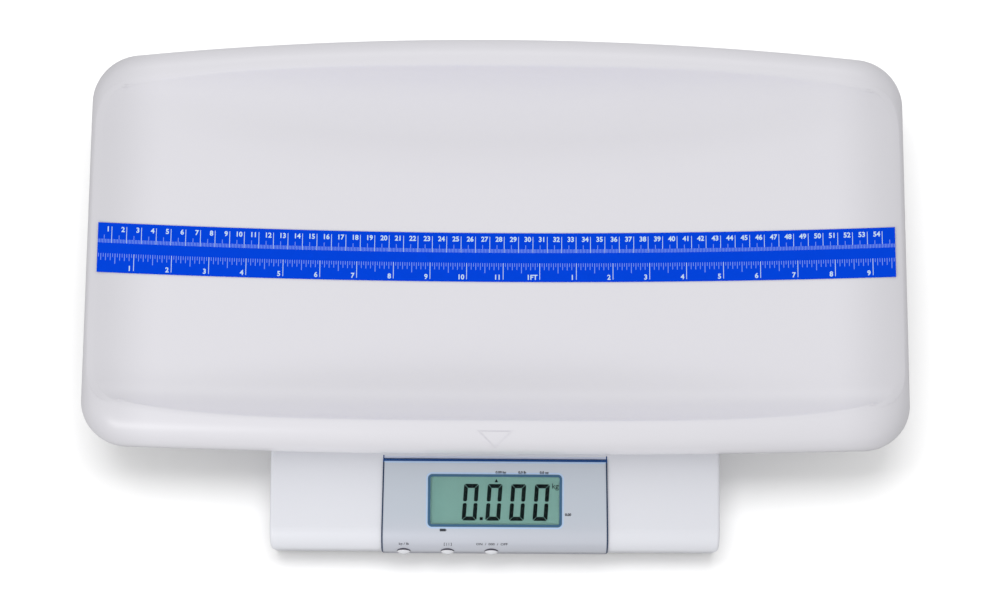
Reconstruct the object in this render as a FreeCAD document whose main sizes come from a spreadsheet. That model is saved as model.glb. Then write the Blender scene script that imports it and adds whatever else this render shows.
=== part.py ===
import FreeCAD, Part
import math
import os
import re
import Sketcher

# A digital baby weighing scale: a curved tray on four posts, over a flat base that holds
# the load cell, the batteries, the display and three buttons.
# The frame: X along the tray, Y from front to back, Z up, with Z = 0 under the feet.
# Sizes are in millimetres and degrees.

SIZES = {
    # The tray, a trough that curves up to its two short ends inside a rolled rim.
    "tray_length": 562.5,
    "tray_depth": 289,
    "tray_middle": 33,
    "tray_floor": 62,
    "tray_crest": 100,
    "tray_wall": 3,
    "trough_radius": 1233,
    "trough_front": -90.5,
    "trough_back": 154,
    "front_wall_radius": 38,
    "back_wall_radius": 46,
    "back_wall_lean": 10,
    "back_bow": 16.3,
    "front_bow": 4.8,
    "front_corner": 31,
    "back_corner": 34,
    "rim_radius": 22,
    "skirt_depth": 28,
    "socket_wall": 3.5,
    "socket_length": 6,
    "mark_width": 24,
    "mark_length": 11.2,
    "mark_front": -108.7,
    "mark_line": 0.8,
    "mark_depth": 0.5,
    # The measuring tape stuck across the tray.
    "tape_length": 548,
    "tape_width": 34.4,
    "tape_middle": 26.5,
    "tape_thickness": 0.25,
    "tape_gap": 0.3,
    # The base: a cover over a pan on four feet.
    "base_width": 310,
    "base_front": -174.5,
    "base_back": 146,
    "base_top": 52,
    "base_wall": 2.5,
    "slope_start": -99,
    "slope_angle": 5,
    "nose_radius": 16,
    "heel_radius": 6,
    "edge_radius": 2.5,
    "foot_height": 3,
    "foot_radius": 9,
    "foot_inset": 25,
    "foot_seat": 1,
    "foot_edge": 0.8,
    "pan_thickness": 3,
    "pan_setback": 0.5,
    "rim_height": 4,
    "rim_thickness": 1.5,
    "boss_radius": 4.5,
    "boss_height": 3,
    "boss_inset": 10,
    "boss_front_inset": 46,
    "base_screw_radius": 1.5,
    "base_screw_grip": 12,
    "base_screw_head": 1.9,
    "well_roof": 0.5,
    # The front panel and its window.
    "panel_width": 156.5,
    "panel_top_width": 154,
    "panel_top": 14,
    "panel_low": 12,
    "panel_thickness": 1,
    "trim_side": 1.2,
    "trim_top": 2,
    "trim_proud": 0.2,
    "window_width": 92.4,
    "window_height": 36.2,
    "window_middle": 42.3,
    "window_corner": 3,
    "border_width": 1.8,
    "border_thickness": 0.15,
    # The display cell and its board.
    "glass_lip": 1.1,
    "glass_thickness": 2.6,
    "glass_corner": 0.5,
    "bezel_lip": 3,
    "bezel_depth": 4,
    "bezel_opening": 3,
    "connector_width": 2.2,
    "board_width": 114,
    "board_top": 22,
    "board_low": 60,
    "board_thickness": 1.6,
    "board_boss_radius": 3,
    "board_boss_inset": 5,
    "board_screw_radius": 1.25,
    "board_screw_head": 1.6,
    "processor_width": 14,
    "processor_height": 1.6,
    "amplifier_length": 10,
    "amplifier_width": 4,
    "amplifier_height": 1.5,
    "amplifier_x": 3,
    "amplifier_inset": 6,
    "crystal_length": 11,
    "crystal_width": 4,
    "crystal_height": 3.5,
    "crystal_x": -14,
    "crystal_inset": 7,
    "capacitor_radius": 2.5,
    "capacitor_height": 6,
    "capacitor_x": 14,
    "capacitor_pitch": 8,
    "capacitor_inset": 10,
    "header_length": 9,
    "header_width": 6,
    "header_height": 5,
    "header_x": 26,
    "header_inset": 14,
    "button_header_x": -33,
    "button_header_inset": 8,
    # The buttons and their switches.
    "button_radius": 4.6,
    "button_dome": 1.8,
    "button_proud": 0.5,
    "button_angle": 12,
    "button_travel": 0.8,
    "button_fit": 0.25,
    "flange_radius": 6.2,
    "flange_thickness": 1,
    "unit_button_x": -63,
    "hold_button_x": -32.7,
    "power_button_x": -2.3,
    "plunger_radius": 1.7,
    "plunger_length": 3,
    "switch_width": 6.2,
    "switch_height": 3.5,
    "switch_board_height": 13,
    "switch_board_overhang": 16,
    # The load cell, what it stands on and what it carries.
    "cell_length": 130,
    "cell_width": 30,
    "cell_height": 22,
    "cell_bore": 7,
    "cell_bore_pitch": 18,
    "cell_slot": 5,
    "seal_thickness": 0.8,
    "seal_length": 11.2,
    "seal_inset": 4,
    "spacer_length": 30,
    "spacer_height": 3,
    "chassis_length": 164,
    "chassis_width": 60,
    "chassis_thickness": 2,
    "chassis_corner": 4,
    "standoff_height": 3,
    "standoff_radius": 5,
    "standoff_inset": 8,
    "standoff_bore": 1.5,
    "chassis_screw_radius": 2,
    "cell_bolt_radius": 2.5,
    "cell_bolt_pitch": 15,
    "cell_bolt_grip": 8,
    "bolt_head": 2.6,
    "frame_length": 230,
    "frame_width": 168,
    "frame_thickness": 2.5,
    "frame_hole": 20,
    "frame_corner": 12,
    "post_pitch_x": 200,
    "post_pitch_y": 140,
    "post_radius": 5,
    "post_flange_radius": 8,
    "post_flange": 2,
    "post_stub": 3,
    "post_top": 56.5,
    "post_hole_gap": 2,
    "cap_radius": 8,
    "cap_low": 53.2,
    "stop_radius": 4.3,
    "stop_gap": 0.6,
    "stop_pitch": 42,
    "stop_place": 58,
    # The batteries and their bay.
    "battery_radius": 7.25,
    "battery_length": 49.5,
    "nub_radius": 2.75,
    "nub_length": 1,
    "battery_pitch": 14.9,
    "battery_count": 6,
    "bay_wall": 2,
    "bay_side_wall": 4,
    "spring_room": 6,
    "contact_thickness": 0.5,
    "contact_size": 11,
    "door_tongue": 1,
    "door_step": 2,
    "door_grip": 0.6,
    "grip_count": 4,
    "grip_pitch": 3,
    "grip_width": 1.4,
    "grip_length": 30,
    # Wires and the gaps between pieces.
    "wire_radius": 1.3,
    "ribbon_radius": 1,
    "wire_lead": 9,
    "wire_swing": 14,
    "joint_gap": 0.2,
    "seat_gap": 0.1,
    "glue_gap": 0.05,
    "fit_gap": 0.3,
    "thread_gap": 0.05,
    "shank_gap": 0.2,
    "tip_gap": 1,
    "over_cut": 1,
}

doc = FreeCAD.newDocument("baby_scale")
sheet = doc.addObject("Spreadsheet::Sheet", "sizes")
for row, (alias, value) in enumerate(SIZES.items(), 1):
    sheet.set(f"A{row}", alias)
    sheet.set(f"B{row}", str(value))
    sheet.setAlias(f"B{row}", alias)
doc.recompute()

TILT = FreeCAD.Rotation(FreeCAD.Vector(1, 0, 0), 90)
TURNS = {
    "x": FreeCAD.Rotation(FreeCAD.Vector(0, 1, 0), 90),
    "y": FreeCAD.Rotation(FreeCAD.Vector(1, 0, 0), -90),
    "z": FreeCAD.Rotation(),
}


# ---------------------------------------------------------------- small helpers

def formula(text):
    """Write a formula's size names the way an expression reads them from the sheet."""
    return re.sub(
        "[a-z_]+",
        lambda word: f"sizes.{word[0]}" if word[0] in SIZES else word[0],
        str(text),
    )


def amount(text):
    """Work a formula out as a plain number."""
    return float(sheet.evalExpression(formula(text)))


def tie(thing, field, text):
    thing.setExpression(field, formula(text))


def block(x, y, z):
    """A box between two formulas along each axis."""
    box = doc.addObject("Part::Box", "block")
    for side, axis, (low, high) in zip(("Length", "Width", "Height"), "xyz", (x, y, z)):
        tie(box, side, f"({high}) - ({low})")
        tie(box, f"Placement.Base.{axis}", low)
    return box


def rod(radius, span, centre, along="z"):
    """A cylinder between two formulas along one axis."""
    bar = doc.addObject("Part::Cylinder", "rod")
    bar.Placement = FreeCAD.Placement(FreeCAD.Vector(), TURNS[along])
    tie(bar, "Radius", radius)
    low, high = span
    tie(bar, "Height", f"({high}) - ({low})")
    tie(bar, f"Placement.Base.{along}", low)
    for axis, place in zip([axis for axis in "xyz" if axis != along], centre):
        tie(bar, f"Placement.Base.{axis}", place)
    return bar


def fused(*pieces):
    whole = doc.addObject("Part::MultiFuse", "fused")
    whole.Shapes = list(pieces)
    return whole


def cut(base, *tools):
    left = doc.addObject("Part::Cut", "cut")
    left.Base = base
    left.Tool = tools[0] if len(tools) == 1 else fused(*tools)
    return left


def shared(first, second):
    both = doc.addObject("Part::Common", "shared")
    both.Base = first
    both.Tool = second
    return both


def group(*pieces):
    several = doc.addObject("Part::Compound", "group")
    several.Links = list(pieces)
    return several


def turned(piece, angle, base):
    """Tilt a piece about X and move it by formulas for its base."""
    piece.Placement = FreeCAD.Placement(FreeCAD.Vector(), TILT)
    tie(piece, "Placement.Rotation.Angle", angle)
    for axis, place in zip("xyz", base):
        tie(piece, f"Placement.Base.{axis}", place)
    return piece


def edge_numbers(shape, wanted):
    return [number for number, edge in enumerate(shape.Edges, 1) if wanted(edge)]


def softened(solid, radius, wanted):
    """Round the edges of a solid that a test picks out."""
    doc.recompute()
    soft = doc.addObject("Part::Fillet", "softened")
    soft.Base = solid
    size = amount(radius)
    soft.Edges = [(number, size, size) for number in edge_numbers(solid.Shape, wanted)]
    return soft


def upright(edge):
    """True for a straight edge along Z."""
    ends = [vertex.Point for vertex in edge.Vertexes]
    return len(ends) == 2 and (ends[0] - ends[1]).cross(FreeCAD.Vector(0, 0, 1)).Length < 1e-6


def plate(width, middle, height, z, corner):
    """A flat plate with rounded corners, centred on X, between two heights."""
    slab = block(
        (f"-({width}) / 2", f"({width}) / 2"),
        (f"({middle}) - ({height}) / 2", f"({middle}) + ({height}) / 2"),
        z,
    )
    return softened(slab, corner, upright)


def mirrored_places(x, y):
    """The four places at plus and minus x, at each of two y formulas."""
    return [(f"{sign}({x})", place) for place in y for sign in ("-", "")]


# ---------------------------------------------------------------- PartDesign helpers

def new_body(name):
    return doc.addObject("PartDesign::Body", name)


def origin_plane(body, role):
    return next(part for part in body.Origin.OriginFeatures if part.Role == role)


def outline(body, role, corners, bows=None):
    """A closed sketch with every corner tied to the sheet; bows holds each bowed side's rise."""
    bows = bows or {}
    sketch = body.newObject("Sketcher::SketchObject", "outline")
    sketch.AttachmentSupport = [(origin_plane(body, role), "")]
    sketch.MapMode = "FlatFace"
    points = [FreeCAD.Vector(amount(across), amount(up), 0) for across, up in corners]
    count = len(points)
    for side, start in enumerate(points):
        end = points[(side + 1) % count]
        if side in bows:
            middle = (start + end) / 2
            outward = (end - start).cross(FreeCAD.Vector(0, 0, 1)).normalize()
            top = middle + outward * amount(bows[side])
            sketch.addGeometry(Part.Arc(start, top, end))
        else:
            sketch.addGeometry(Part.LineSegment(start, end))
    # An arc runs anticlockwise from its start, and so do the sides.
    for side in range(count):
        sketch.addConstraint(Sketcher.Constraint("Coincident", side, 2, (side + 1) % count, 1))
    for side, corner in enumerate(corners):
        for kind, text, value in zip(("DistanceX", "DistanceY"), corner, points[side]):
            place = sketch.addConstraint(Sketcher.Constraint(kind, -1, 1, side, 1, value))
            sketch.setExpression(f"Constraints[{place}]", formula(text))
    for side, rise in bows.items():
        span = f"(({corners[side][0]}) - ({corners[(side + 1) % count][0]}))"
        radius = f"({span} * {span} / 4 + ({rise}) * ({rise})) / (2 * ({rise}))"
        curve = sketch.addConstraint(Sketcher.Constraint("Radius", side, amount(radius)))
        sketch.setExpression(f"Constraints[{curve}]", formula(radius))
    return sketch


def padded(body, sketch, length, both_ways=False):
    pad = body.newObject("PartDesign::Pad", "pad")
    pad.Profile = sketch
    pad.Midplane = both_ways
    tie(pad, "Length", length)
    doc.recompute()
    return pad


def rounded(body, feature, radius, wanted):
    """A fillet whose radius is tied to the sheet, on the edges that a test picks out."""
    fillet = body.newObject("PartDesign::Fillet", "fillet")
    names = [f"Edge{number}" for number in edge_numbers(feature.Shape, wanted)]
    fillet.Base = (feature, names)
    tie(fillet, "Radius", radius)
    doc.recompute()
    return fillet


def near(value, target):
    return abs(value - target) < 1e-3


def crosswise_at(y, z):
    """A test for the edge along X that passes through y and z."""
    y_place, z_place = amount(y), amount(z)

    def wanted(edge):
        ends = [vertex.Point for vertex in edge.Vertexes]
        across = len(ends) == 2 and abs(ends[0].x - ends[1].x) > 1
        return across and all(near(end.y, y_place) and near(end.z, z_place) for end in ends)

    return wanted


# ---------------------------------------------------------------- the tray

TRAY_FRONT = "(tray_middle - tray_depth / 2)"
TRAY_BACK = "(tray_middle + tray_depth / 2)"
BLOCK_LOW = "(tray_floor - 4 * tray_wall)"
SKIRT_LOW = "(tray_crest - skirt_depth)"


def rim_block(inset):
    """The tray's outer form, with its rolled rim, drawn in by an inset on every side."""
    body = new_body("rim_block")
    side = f"(tray_length / 2 - ({inset}))"
    front = f"({TRAY_FRONT} + front_bow + ({inset}))"
    back = f"({TRAY_BACK} - back_bow - ({inset}))"
    corners = [(f"-{side}", front), (side, front), (side, back), (f"-{side}", back)]
    sketch = outline(body, "XY_Plane", corners, {0: "front_bow", 2: "back_bow"})
    pad = padded(body, sketch, f"tray_crest - ({inset}) - {BLOCK_LOW}")
    middle = amount("tray_middle")

    def ahead(edge):
        return upright(edge) and edge.BoundBox.YMax < middle

    def behind(edge):
        return upright(edge) and edge.BoundBox.YMin > middle

    corner = rounded(body, pad, f"front_corner - ({inset})", ahead)
    corner = rounded(body, corner, f"back_corner - ({inset})", behind)
    high = corner.Shape.BoundBox.ZMax
    top = rounded(body, corner, f"rim_radius - ({inset})", lambda edge: near(edge.BoundBox.ZMin, high))
    body.Tip = top
    tie(body, "Placement.Base.z", BLOCK_LOW)
    return body


def trough(grown):
    """The trough's inside, grown by a wall: a profile swung about an axis above the tray."""
    body = new_body("trough")
    rise = "(tray_crest - tray_floor)"
    lean = f"({rise} * tan(back_wall_lean))"
    over = f"({rise} + rim_radius)"
    front = f"(trough_front - ({grown}))"
    spread = f"({grown}) / cos(back_wall_lean)"
    low = f"-(trough_radius + ({grown}))"
    high = f"({over} - trough_radius)"
    back_low = f"(trough_back - {lean} + {spread} - ({grown}) * tan(back_wall_lean))"
    back_high = f"(trough_back - {lean} + {spread} + {over} * tan(back_wall_lean))"
    corners = [(front, low), (back_low, low), (back_high, high), (front, high)]
    sketch = outline(body, "YZ_Plane", corners)
    swing = body.newObject("PartDesign::Revolution", "swing")
    swing.Profile = sketch
    swing.ReferenceAxis = (sketch, ["H_Axis"])
    swing.Midplane = True
    tie(swing, "Angle", "2 * asin((tray_length / 2 + 4 * tray_wall) / trough_radius)")
    doc.recompute()

    def along_floor(y):
        place = amount(y)
        deep = amount(f"trough_radius + ({grown})")

        def wanted(edge):
            box = edge.BoundBox
            curved = box.XMax - box.XMin > 1 and near(box.YMin, box.YMax)
            return curved and near(box.YMin, place) and near(box.ZMin, -deep)

        return wanted

    front_round = rounded(body, swing, f"front_wall_radius + ({grown})", along_floor(front))
    back_round = rounded(body, front_round, f"back_wall_radius + ({grown})", along_floor(back_low))
    body.Tip = back_round
    tie(body, "Placement.Base.z", "tray_floor + trough_radius")
    return body


def triangle(inset):
    """The pointer's triangle, with its apex to the front, drawn in by an inset."""
    body = new_body("pointer")
    half = "(mark_width / 2)"
    flank = f"sqrt({half} ^ 2 + mark_length ^ 2)"
    shrink = f"(({inset}) * ({half} + {flank}) / mark_length)"
    back = f"(mark_front + mark_length - ({inset}))"
    apex = f"(mark_front + ({inset}) * {flank} / {half})"
    corners = [("0", apex), (f"{half} - {shrink}", back), (f"{shrink} - {half}", back)]
    padded(body, outline(body, "XY_Plane", corners), "tray_crest + over_cut")
    return body


POST_X = "(post_pitch_x / 2)"
POST_ROWS = ("tray_middle - post_pitch_y / 2", "tray_middle + post_pitch_y / 2")
POSTS = mirrored_places(POST_X, POST_ROWS)
SOCKET_RADIUS = "(cap_radius + fit_gap)"
SOCKET_LOW = "(tray_floor - socket_length)"


def make_tray():
    """The outer form, less the trough above it and less the space inside the rim below it."""
    inner = rim_block("tray_wall")
    wide = ("-tray_length", "tray_length")
    below = block(wide, wide, ("0", SKIRT_LOW))
    sockets = [
        rod(f"{SOCKET_RADIUS} + socket_wall", (SOCKET_LOW, "tray_crest"), place) for place in POSTS
    ]
    underside = cut(fused(inner, below), trough("tray_wall"), *sockets)
    shell = cut(cut(rim_block("0"), underside), trough("0"))
    bores = [rod(SOCKET_RADIUS, ("0", "tray_floor"), place) for place in POSTS]
    line = cut(triangle("0"), triangle("mark_line"))
    mark = cut(line, rim_block("mark_depth"))
    return cut(cut(shell, mark), *bores)


def make_tape():
    body = new_body("tape")
    front = "(tape_middle - tape_width / 2)"
    back = "(tape_middle + tape_width / 2)"
    low = "(tape_gap - trough_radius)"
    high = "(tape_gap + tape_thickness - trough_radius)"
    corners = [(front, low), (back, low), (back, high), (front, high)]
    sketch = outline(body, "YZ_Plane", corners)
    swing = body.newObject("PartDesign::Revolution", "swing")
    swing.Profile = sketch
    swing.ReferenceAxis = (sketch, ["H_Axis"])
    swing.Midplane = True
    tie(swing, "Angle", "tape_length / trough_radius * 180 / pi")
    tie(body, "Placement.Base.z", "tray_floor + trough_radius")
    return body


# ---------------------------------------------------------------- the base

PAN_TOP = "(foot_height + pan_thickness)"
ROOT = "(foot_height + pan_thickness / 2)"
COVER_LOW = "(foot_height + pan_thickness + joint_gap)"
BOSS_TOP = f"({PAN_TOP} + boss_height)"
FEET_ROWS = ("base_front + foot_inset", "base_back - foot_inset")
FEET = mirrored_places("base_width / 2 - foot_inset", FEET_ROWS)
BOSS_X = "(base_width / 2 - boss_inset)"
BOSS_ROWS = ("base_front + boss_front_inset", "base_back - boss_front_inset")
BOSSES = mirrored_places(BOSS_X, BOSS_ROWS)


def slope_height(y, proud="0"):
    """The height of the sloping front at y, or of a face that stands proud of it."""
    return f"(base_top + (({y}) - slope_start) * tan(slope_angle) + ({proud}) / cos(slope_angle))"


NOSE_Y = "(base_front + nose_radius)"
NOSE_Z = f"({slope_height(NOSE_Y)} - nose_radius / cos(slope_angle))"
ON_SLOPE = ("0", "slope_start", "base_top")


def on_slope(piece):
    """Lay a piece on the sloping front: its Y runs up the slope and its Z stands off it."""
    return turned(piece, "slope_angle", ON_SLOPE)


def on_nose(piece, x="0"):
    """Set a piece about the nose's own axis, with its Z along a button's axis."""
    return turned(piece, "90 - button_angle", (x, NOSE_Y, NOSE_Z))


def cover_form():
    """The cover's outside: a level top, a sloping front, a round nose and soft ends."""
    body = new_body("cover_form")
    nose = slope_height("base_front")
    corners = [
        ("base_front", COVER_LOW),
        ("base_back", COVER_LOW),
        ("base_back", "base_top"),
        ("slope_start", "base_top"),
        ("base_front", nose),
    ]
    pad = padded(body, outline(body, "YZ_Plane", corners), "base_width", True)
    blunt = rounded(body, pad, "nose_radius", crosswise_at("base_front", nose))
    heel = rounded(body, blunt, "heel_radius", crosswise_at("base_back", "base_top"))
    side = amount("base_width / 2")
    low = amount(COVER_LOW)

    def on_side(edge):
        box = edge.BoundBox
        return near(box.XMin, box.XMax) and near(abs(box.XMin), side) and box.ZMax > low + 1

    soft = rounded(body, heel, "edge_radius", on_side)
    body.Tip = soft
    return body


def cover_hollow():
    """The space inside the cover's wall, open below."""
    body = new_body("cover_hollow")
    front = "(base_front + base_wall)"
    back = "(base_back - base_wall)"
    top = "(base_top - base_wall)"
    nose = slope_height(front, "-base_wall")
    below = f"({COVER_LOW} - 2 * base_wall)"
    corners = [
        (front, below),
        (back, below),
        (back, top),
        ("slope_start + base_wall * tan(slope_angle / 2)", top),
        (front, nose),
    ]
    pad = padded(body, outline(body, "YZ_Plane", corners), "base_width - 2 * base_wall", True)
    blunt = rounded(body, pad, "nose_radius - base_wall", crosswise_at(front, nose))
    heel = rounded(body, blunt, "heel_radius - base_wall", crosswise_at(back, top))
    body.Tip = heel
    return body


GLASS_WIDTH = "(window_width - 2 * border_width + 2 * glass_lip)"
GLASS_HEIGHT = "(window_height - 2 * border_width + 2 * glass_lip)"
GLASS_TOP = "-(joint_gap)"
GLASS_LOW = f"({GLASS_TOP} - glass_thickness)"
BEZEL_TOP = f"({GLASS_LOW} - seat_gap)"
BEZEL_LOW = f"({BEZEL_TOP} - bezel_depth)"
BOARD_TOP = f"({BEZEL_LOW} - seat_gap)"
BOARD_LOW = f"({BOARD_TOP} - board_thickness)"
BOARD_BOSS_X = "(board_width / 2 - board_boss_inset)"
BOARD_BOSSES = mirrored_places(
    BOARD_BOSS_X, ("-(board_top + board_boss_inset)", "-(board_low - board_boss_inset)")
)
BUTTONS = ("unit_button_x", "hold_button_x", "power_button_x")
PANEL_FACE = "(glue_gap + panel_thickness)"
PANEL_OUT = f"(nose_radius + {PANEL_FACE})"
PANEL_CUT = ("-over_cut", f"{PANEL_FACE} + over_cut")
FLANGE_TOP = "(sqrt((nose_radius - base_wall - fit_gap) ^ 2 - flange_radius ^ 2))"
FLANGE_LOW = f"({FLANGE_TOP} - flange_thickness)"
SWITCH_TOP = f"({FLANGE_LOW} - button_travel - fit_gap)"
SWITCH_LOW = f"({SWITCH_TOP} - switch_height)"
SWITCH_BOARD_LOW = f"({SWITCH_LOW} - board_thickness)"
SWITCH_BOARD_ENDS = (
    "unit_button_x - switch_board_overhang",
    "power_button_x + switch_board_overhang",
)
SWITCH_BOSSES = (
    (f"({SWITCH_BOARD_ENDS[0]}) + board_boss_inset", "0"),
    (f"({SWITCH_BOARD_ENDS[1]}) - board_boss_inset", "0"),
)


def make_cover():
    posts = []
    pilots = []
    for place in BOSSES[:2]:
        top = slope_height(place[1], "-base_wall / 2")
        posts.append(rod("boss_radius", (f"{BOSS_TOP} + joint_gap", top), place))
    for place in BOSSES[2:]:
        top = "base_top - base_wall / 2"
        posts.append(rod("boss_radius", (f"{BOSS_TOP} + joint_gap", top), place))
    for place in BOSSES:
        span = (BOSS_TOP, f"{BOSS_TOP} + base_screw_grip + tip_gap")
        pilots.append(rod("base_screw_radius + thread_gap", span, place))
    for place in BOARD_BOSSES:
        post = rod("board_boss_radius", (f"{BOARD_TOP} + glue_gap", "-base_wall / 2"), place)
        posts.append(on_slope(group(post)))
        bore = rod("board_screw_radius + thread_gap", (BOARD_LOW, "-base_wall"), place)
        pilots.append(on_slope(group(bore)))
    for place in SWITCH_BOSSES:
        span = (f"{SWITCH_LOW} + glue_gap", "nose_radius - base_wall / 2")
        posts.append(on_nose(group(rod("board_boss_radius", span, place))))
        span = (SWITCH_BOARD_LOW, "nose_radius - base_wall - tip_gap")
        pilots.append(on_nose(group(rod("board_screw_radius + thread_gap", span, place))))
    window = plate(
        f"{GLASS_WIDTH} + 2 * fit_gap", "-window_middle", f"{GLASS_HEIGHT} + 2 * fit_gap",
        ("-4 * base_wall", "base_wall"), "edge_radius / 2",
    )
    holes = [on_slope(group(window))]
    for place in BUTTONS:
        hole = rod("button_radius + button_fit", ("nose_radius / 2", "nose_radius * 2"), ("0", "0"))
        holes.append(on_nose(group(hole), place))
    for place in POSTS:
        span = ("base_top - 2 * base_wall", "base_top + over_cut")
        holes.append(rod("post_radius + post_hole_gap", span, place))
    shell = cut(cover_form(), cover_hollow())
    return cut(fused(shell, *posts), *pilots, *holes)


def nose_block(reach, top, low, proud, depth):
    """A block under a face that stands proud of the cover's slope and nose, centred on X."""
    body = new_body("nose_block")
    run = f"(({top}) * cos(slope_angle))"

    def slope_point(proud):
        y = f"(slope_start - {run} - ({proud}) * sin(slope_angle))"
        return (y, slope_height(y, proud))

    face = f"(base_front - ({proud}))"
    nose = (face, slope_height(face, proud))
    corners = [
        (face, low),
        nose,
        slope_point(proud),
        slope_point(f"-({depth})"),
        (f"base_front + ({depth})", low),
    ]
    pad = padded(body, outline(body, "YZ_Plane", corners), f"2 * ({reach})", True)
    body.Tip = rounded(body, pad, f"nose_radius + ({proud})", crosswise_at(*nose))
    return body


def taper(inset):
    """The panel's plan, a little wider at the nose than at the slope's top, drawn in by an inset."""
    body = new_body("taper")
    top_half = f"(panel_top_width / 2 - ({inset}))"
    low_half = f"(panel_width / 2 - ({inset}))"
    face = f"(base_front - 2 * {PANEL_FACE})"
    corners = [
        (f"-{low_half}", face),
        (low_half, face),
        (top_half, "slope_start"),
        (f"-{top_half}", "slope_start"),
    ]
    padded(body, outline(body, "XY_Plane", corners), "2 * base_top")
    return body


def nose_band(inset, top, low, inside, outside):
    """A plate of even thickness that follows the cover's front from the slope over the nose."""
    depth = "(nose_radius / 2)"
    outer = nose_block("panel_width", top, low, outside, depth)
    inner = nose_block(
        "2 * panel_width", f"({top}) - {depth}", f"({low}) - {depth}", inside, "nose_radius"
    )
    return shared(cut(outer, inner), taper(inset))


def window_plate(lip, z, corner):
    """A plate over the window, larger than its opening by a lip on every side."""
    return plate(
        f"window_width - 2 * border_width + 2 * ({lip})",
        "-window_middle",
        f"window_height - 2 * border_width + 2 * ({lip})",
        z,
        corner,
    )


def make_panel():
    plate_metal = nose_band(
        "trim_side + glue_gap",
        "panel_top + trim_top + glue_gap",
        "panel_low + trim_side + glue_gap",
        "glue_gap",
        PANEL_FACE,
    )
    opening = on_slope(group(window_plate("0", PANEL_CUT, "window_corner - border_width")))
    holes = []
    for place in BUTTONS:
        hole = rod("button_radius + button_fit", ("nose_radius / 2", "nose_radius * 2"), ("0", "0"))
        holes.append(on_nose(group(hole), place))
    return cut(plate_metal, opening, *holes)


def make_trim():
    whole = nose_band("0", "panel_top", "panel_low", "glue_gap", f"{PANEL_FACE} + trim_proud")
    hole = nose_band(
        "trim_side",
        "panel_top + trim_top",
        "panel_low + trim_side",
        "-glue_gap",
        f"{PANEL_FACE} + 2 * trim_proud",
    )
    return cut(whole, hole)


def make_border():
    z = (f"{PANEL_FACE} + glue_gap", f"{PANEL_FACE} + glue_gap + border_thickness")
    outside = window_plate("border_width", z, "window_corner")
    inside = window_plate("0", PANEL_CUT, "window_corner - border_width")
    return on_slope(cut(outside, inside))


def make_lens():
    z = ("glue_gap", PANEL_FACE)
    return on_slope(group(window_plate("-glue_gap", z, "window_corner - border_width")))


def make_glass():
    return on_slope(group(window_plate("glass_lip", (GLASS_LOW, GLASS_TOP), "glass_corner")))


def make_bezel():
    outside = window_plate("bezel_lip", (BEZEL_LOW, BEZEL_TOP), "edge_radius")
    deep = (f"{BEZEL_LOW} - over_cut", f"{BEZEL_TOP} + over_cut")
    inside = window_plate("-bezel_opening", deep, "glass_corner")
    return on_slope(cut(outside, inside))


def make_connectors():
    reach = "(window_width / 2 - border_width - bezel_opening - fit_gap)"
    edge = "(window_height / 2 - border_width - bezel_opening - fit_gap)"
    z = (f"{BEZEL_LOW} + glue_gap", f"{BEZEL_TOP} - glue_gap")
    upper = f"(-window_middle + {edge})"
    lower = f"(-window_middle - {edge})"
    strips = [
        block((f"-{reach}", reach), (f"{upper} - connector_width", upper), z),
        block((f"-{reach}", reach), (lower, f"{lower} + connector_width"), z),
    ]
    return on_slope(group(*strips))


def make_board():
    slab = block(
        ("-board_width / 2", "board_width / 2"), ("-board_low", "-board_top"), (BOARD_LOW, BOARD_TOP)
    )
    through = (f"{BOARD_LOW} - over_cut", f"{BOARD_TOP} + over_cut")
    holes = [rod("board_screw_radius + shank_gap", through, place) for place in BOARD_BOSSES]
    return on_slope(cut(slab, *holes))


PART_TOP = f"({BOARD_LOW} - glue_gap)"
CELL_HEADER = ("header_x", "-board_top - header_inset")
BATTERY_HEADER = ("-header_x", "-board_top - header_inset")
BUTTON_HEADER = ("button_header_x", "button_header_inset - board_low")


def make_components():
    """Chips, a crystal, capacitors and three headers on the board's back."""
    def chip(x, y, length, width, height):
        return block(
            (f"({x}) - {length} / 2", f"({x}) + {length} / 2"),
            (f"({y}) - {width} / 2", f"({y}) + {width} / 2"),
            (f"{PART_TOP} - {height}", PART_TOP),
        )

    middle = "-(board_top + board_low) / 2"
    amplifier = ("amplifier_x", "-board_top - amplifier_inset")
    crystal = ("crystal_x", "-board_top - crystal_inset")
    pieces = [
        chip("0", middle, "processor_width", "processor_width", "processor_height"),
        chip(*amplifier, "amplifier_length", "amplifier_width", "amplifier_height"),
        chip(*crystal, "crystal_length", "crystal_width", "crystal_height"),
    ]
    for x in ("capacitor_x", "capacitor_x + capacitor_pitch"):
        place = (x, "capacitor_inset - board_low")
        pieces.append(rod("capacitor_radius", (f"{PART_TOP} - capacitor_height", PART_TOP), place))
    for header in (CELL_HEADER, BATTERY_HEADER, BUTTON_HEADER):
        pieces.append(chip(*header, "header_length", "header_width", "header_height"))
    return on_slope(group(*pieces))


def screw(radius, head, shank, centre):
    """A screw of a round head and a shank, each between two heights."""
    return fused(rod(f"2 * {radius}", head, centre), rod(radius, shank, centre))


def make_board_screws():
    screws = []
    for place in BOARD_BOSSES:
        head = (f"{BOARD_LOW} - board_screw_head", f"{BOARD_LOW} - glue_gap")
        shank = (f"{BOARD_LOW} - board_screw_head / 2", "-base_wall - tip_gap")
        screws.append(screw("board_screw_radius", head, shank, place))
    return on_slope(group(*screws))


def make_switch_board():
    slab = block(
        SWITCH_BOARD_ENDS,
        ("-switch_board_height / 2", "switch_board_height / 2"),
        (SWITCH_BOARD_LOW, SWITCH_LOW),
    )
    through = (f"{SWITCH_BOARD_LOW} - over_cut", f"{SWITCH_LOW} + over_cut")
    holes = [rod("board_screw_radius + shank_gap", through, place) for place in SWITCH_BOSSES]
    return on_nose(cut(slab, *holes))


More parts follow.
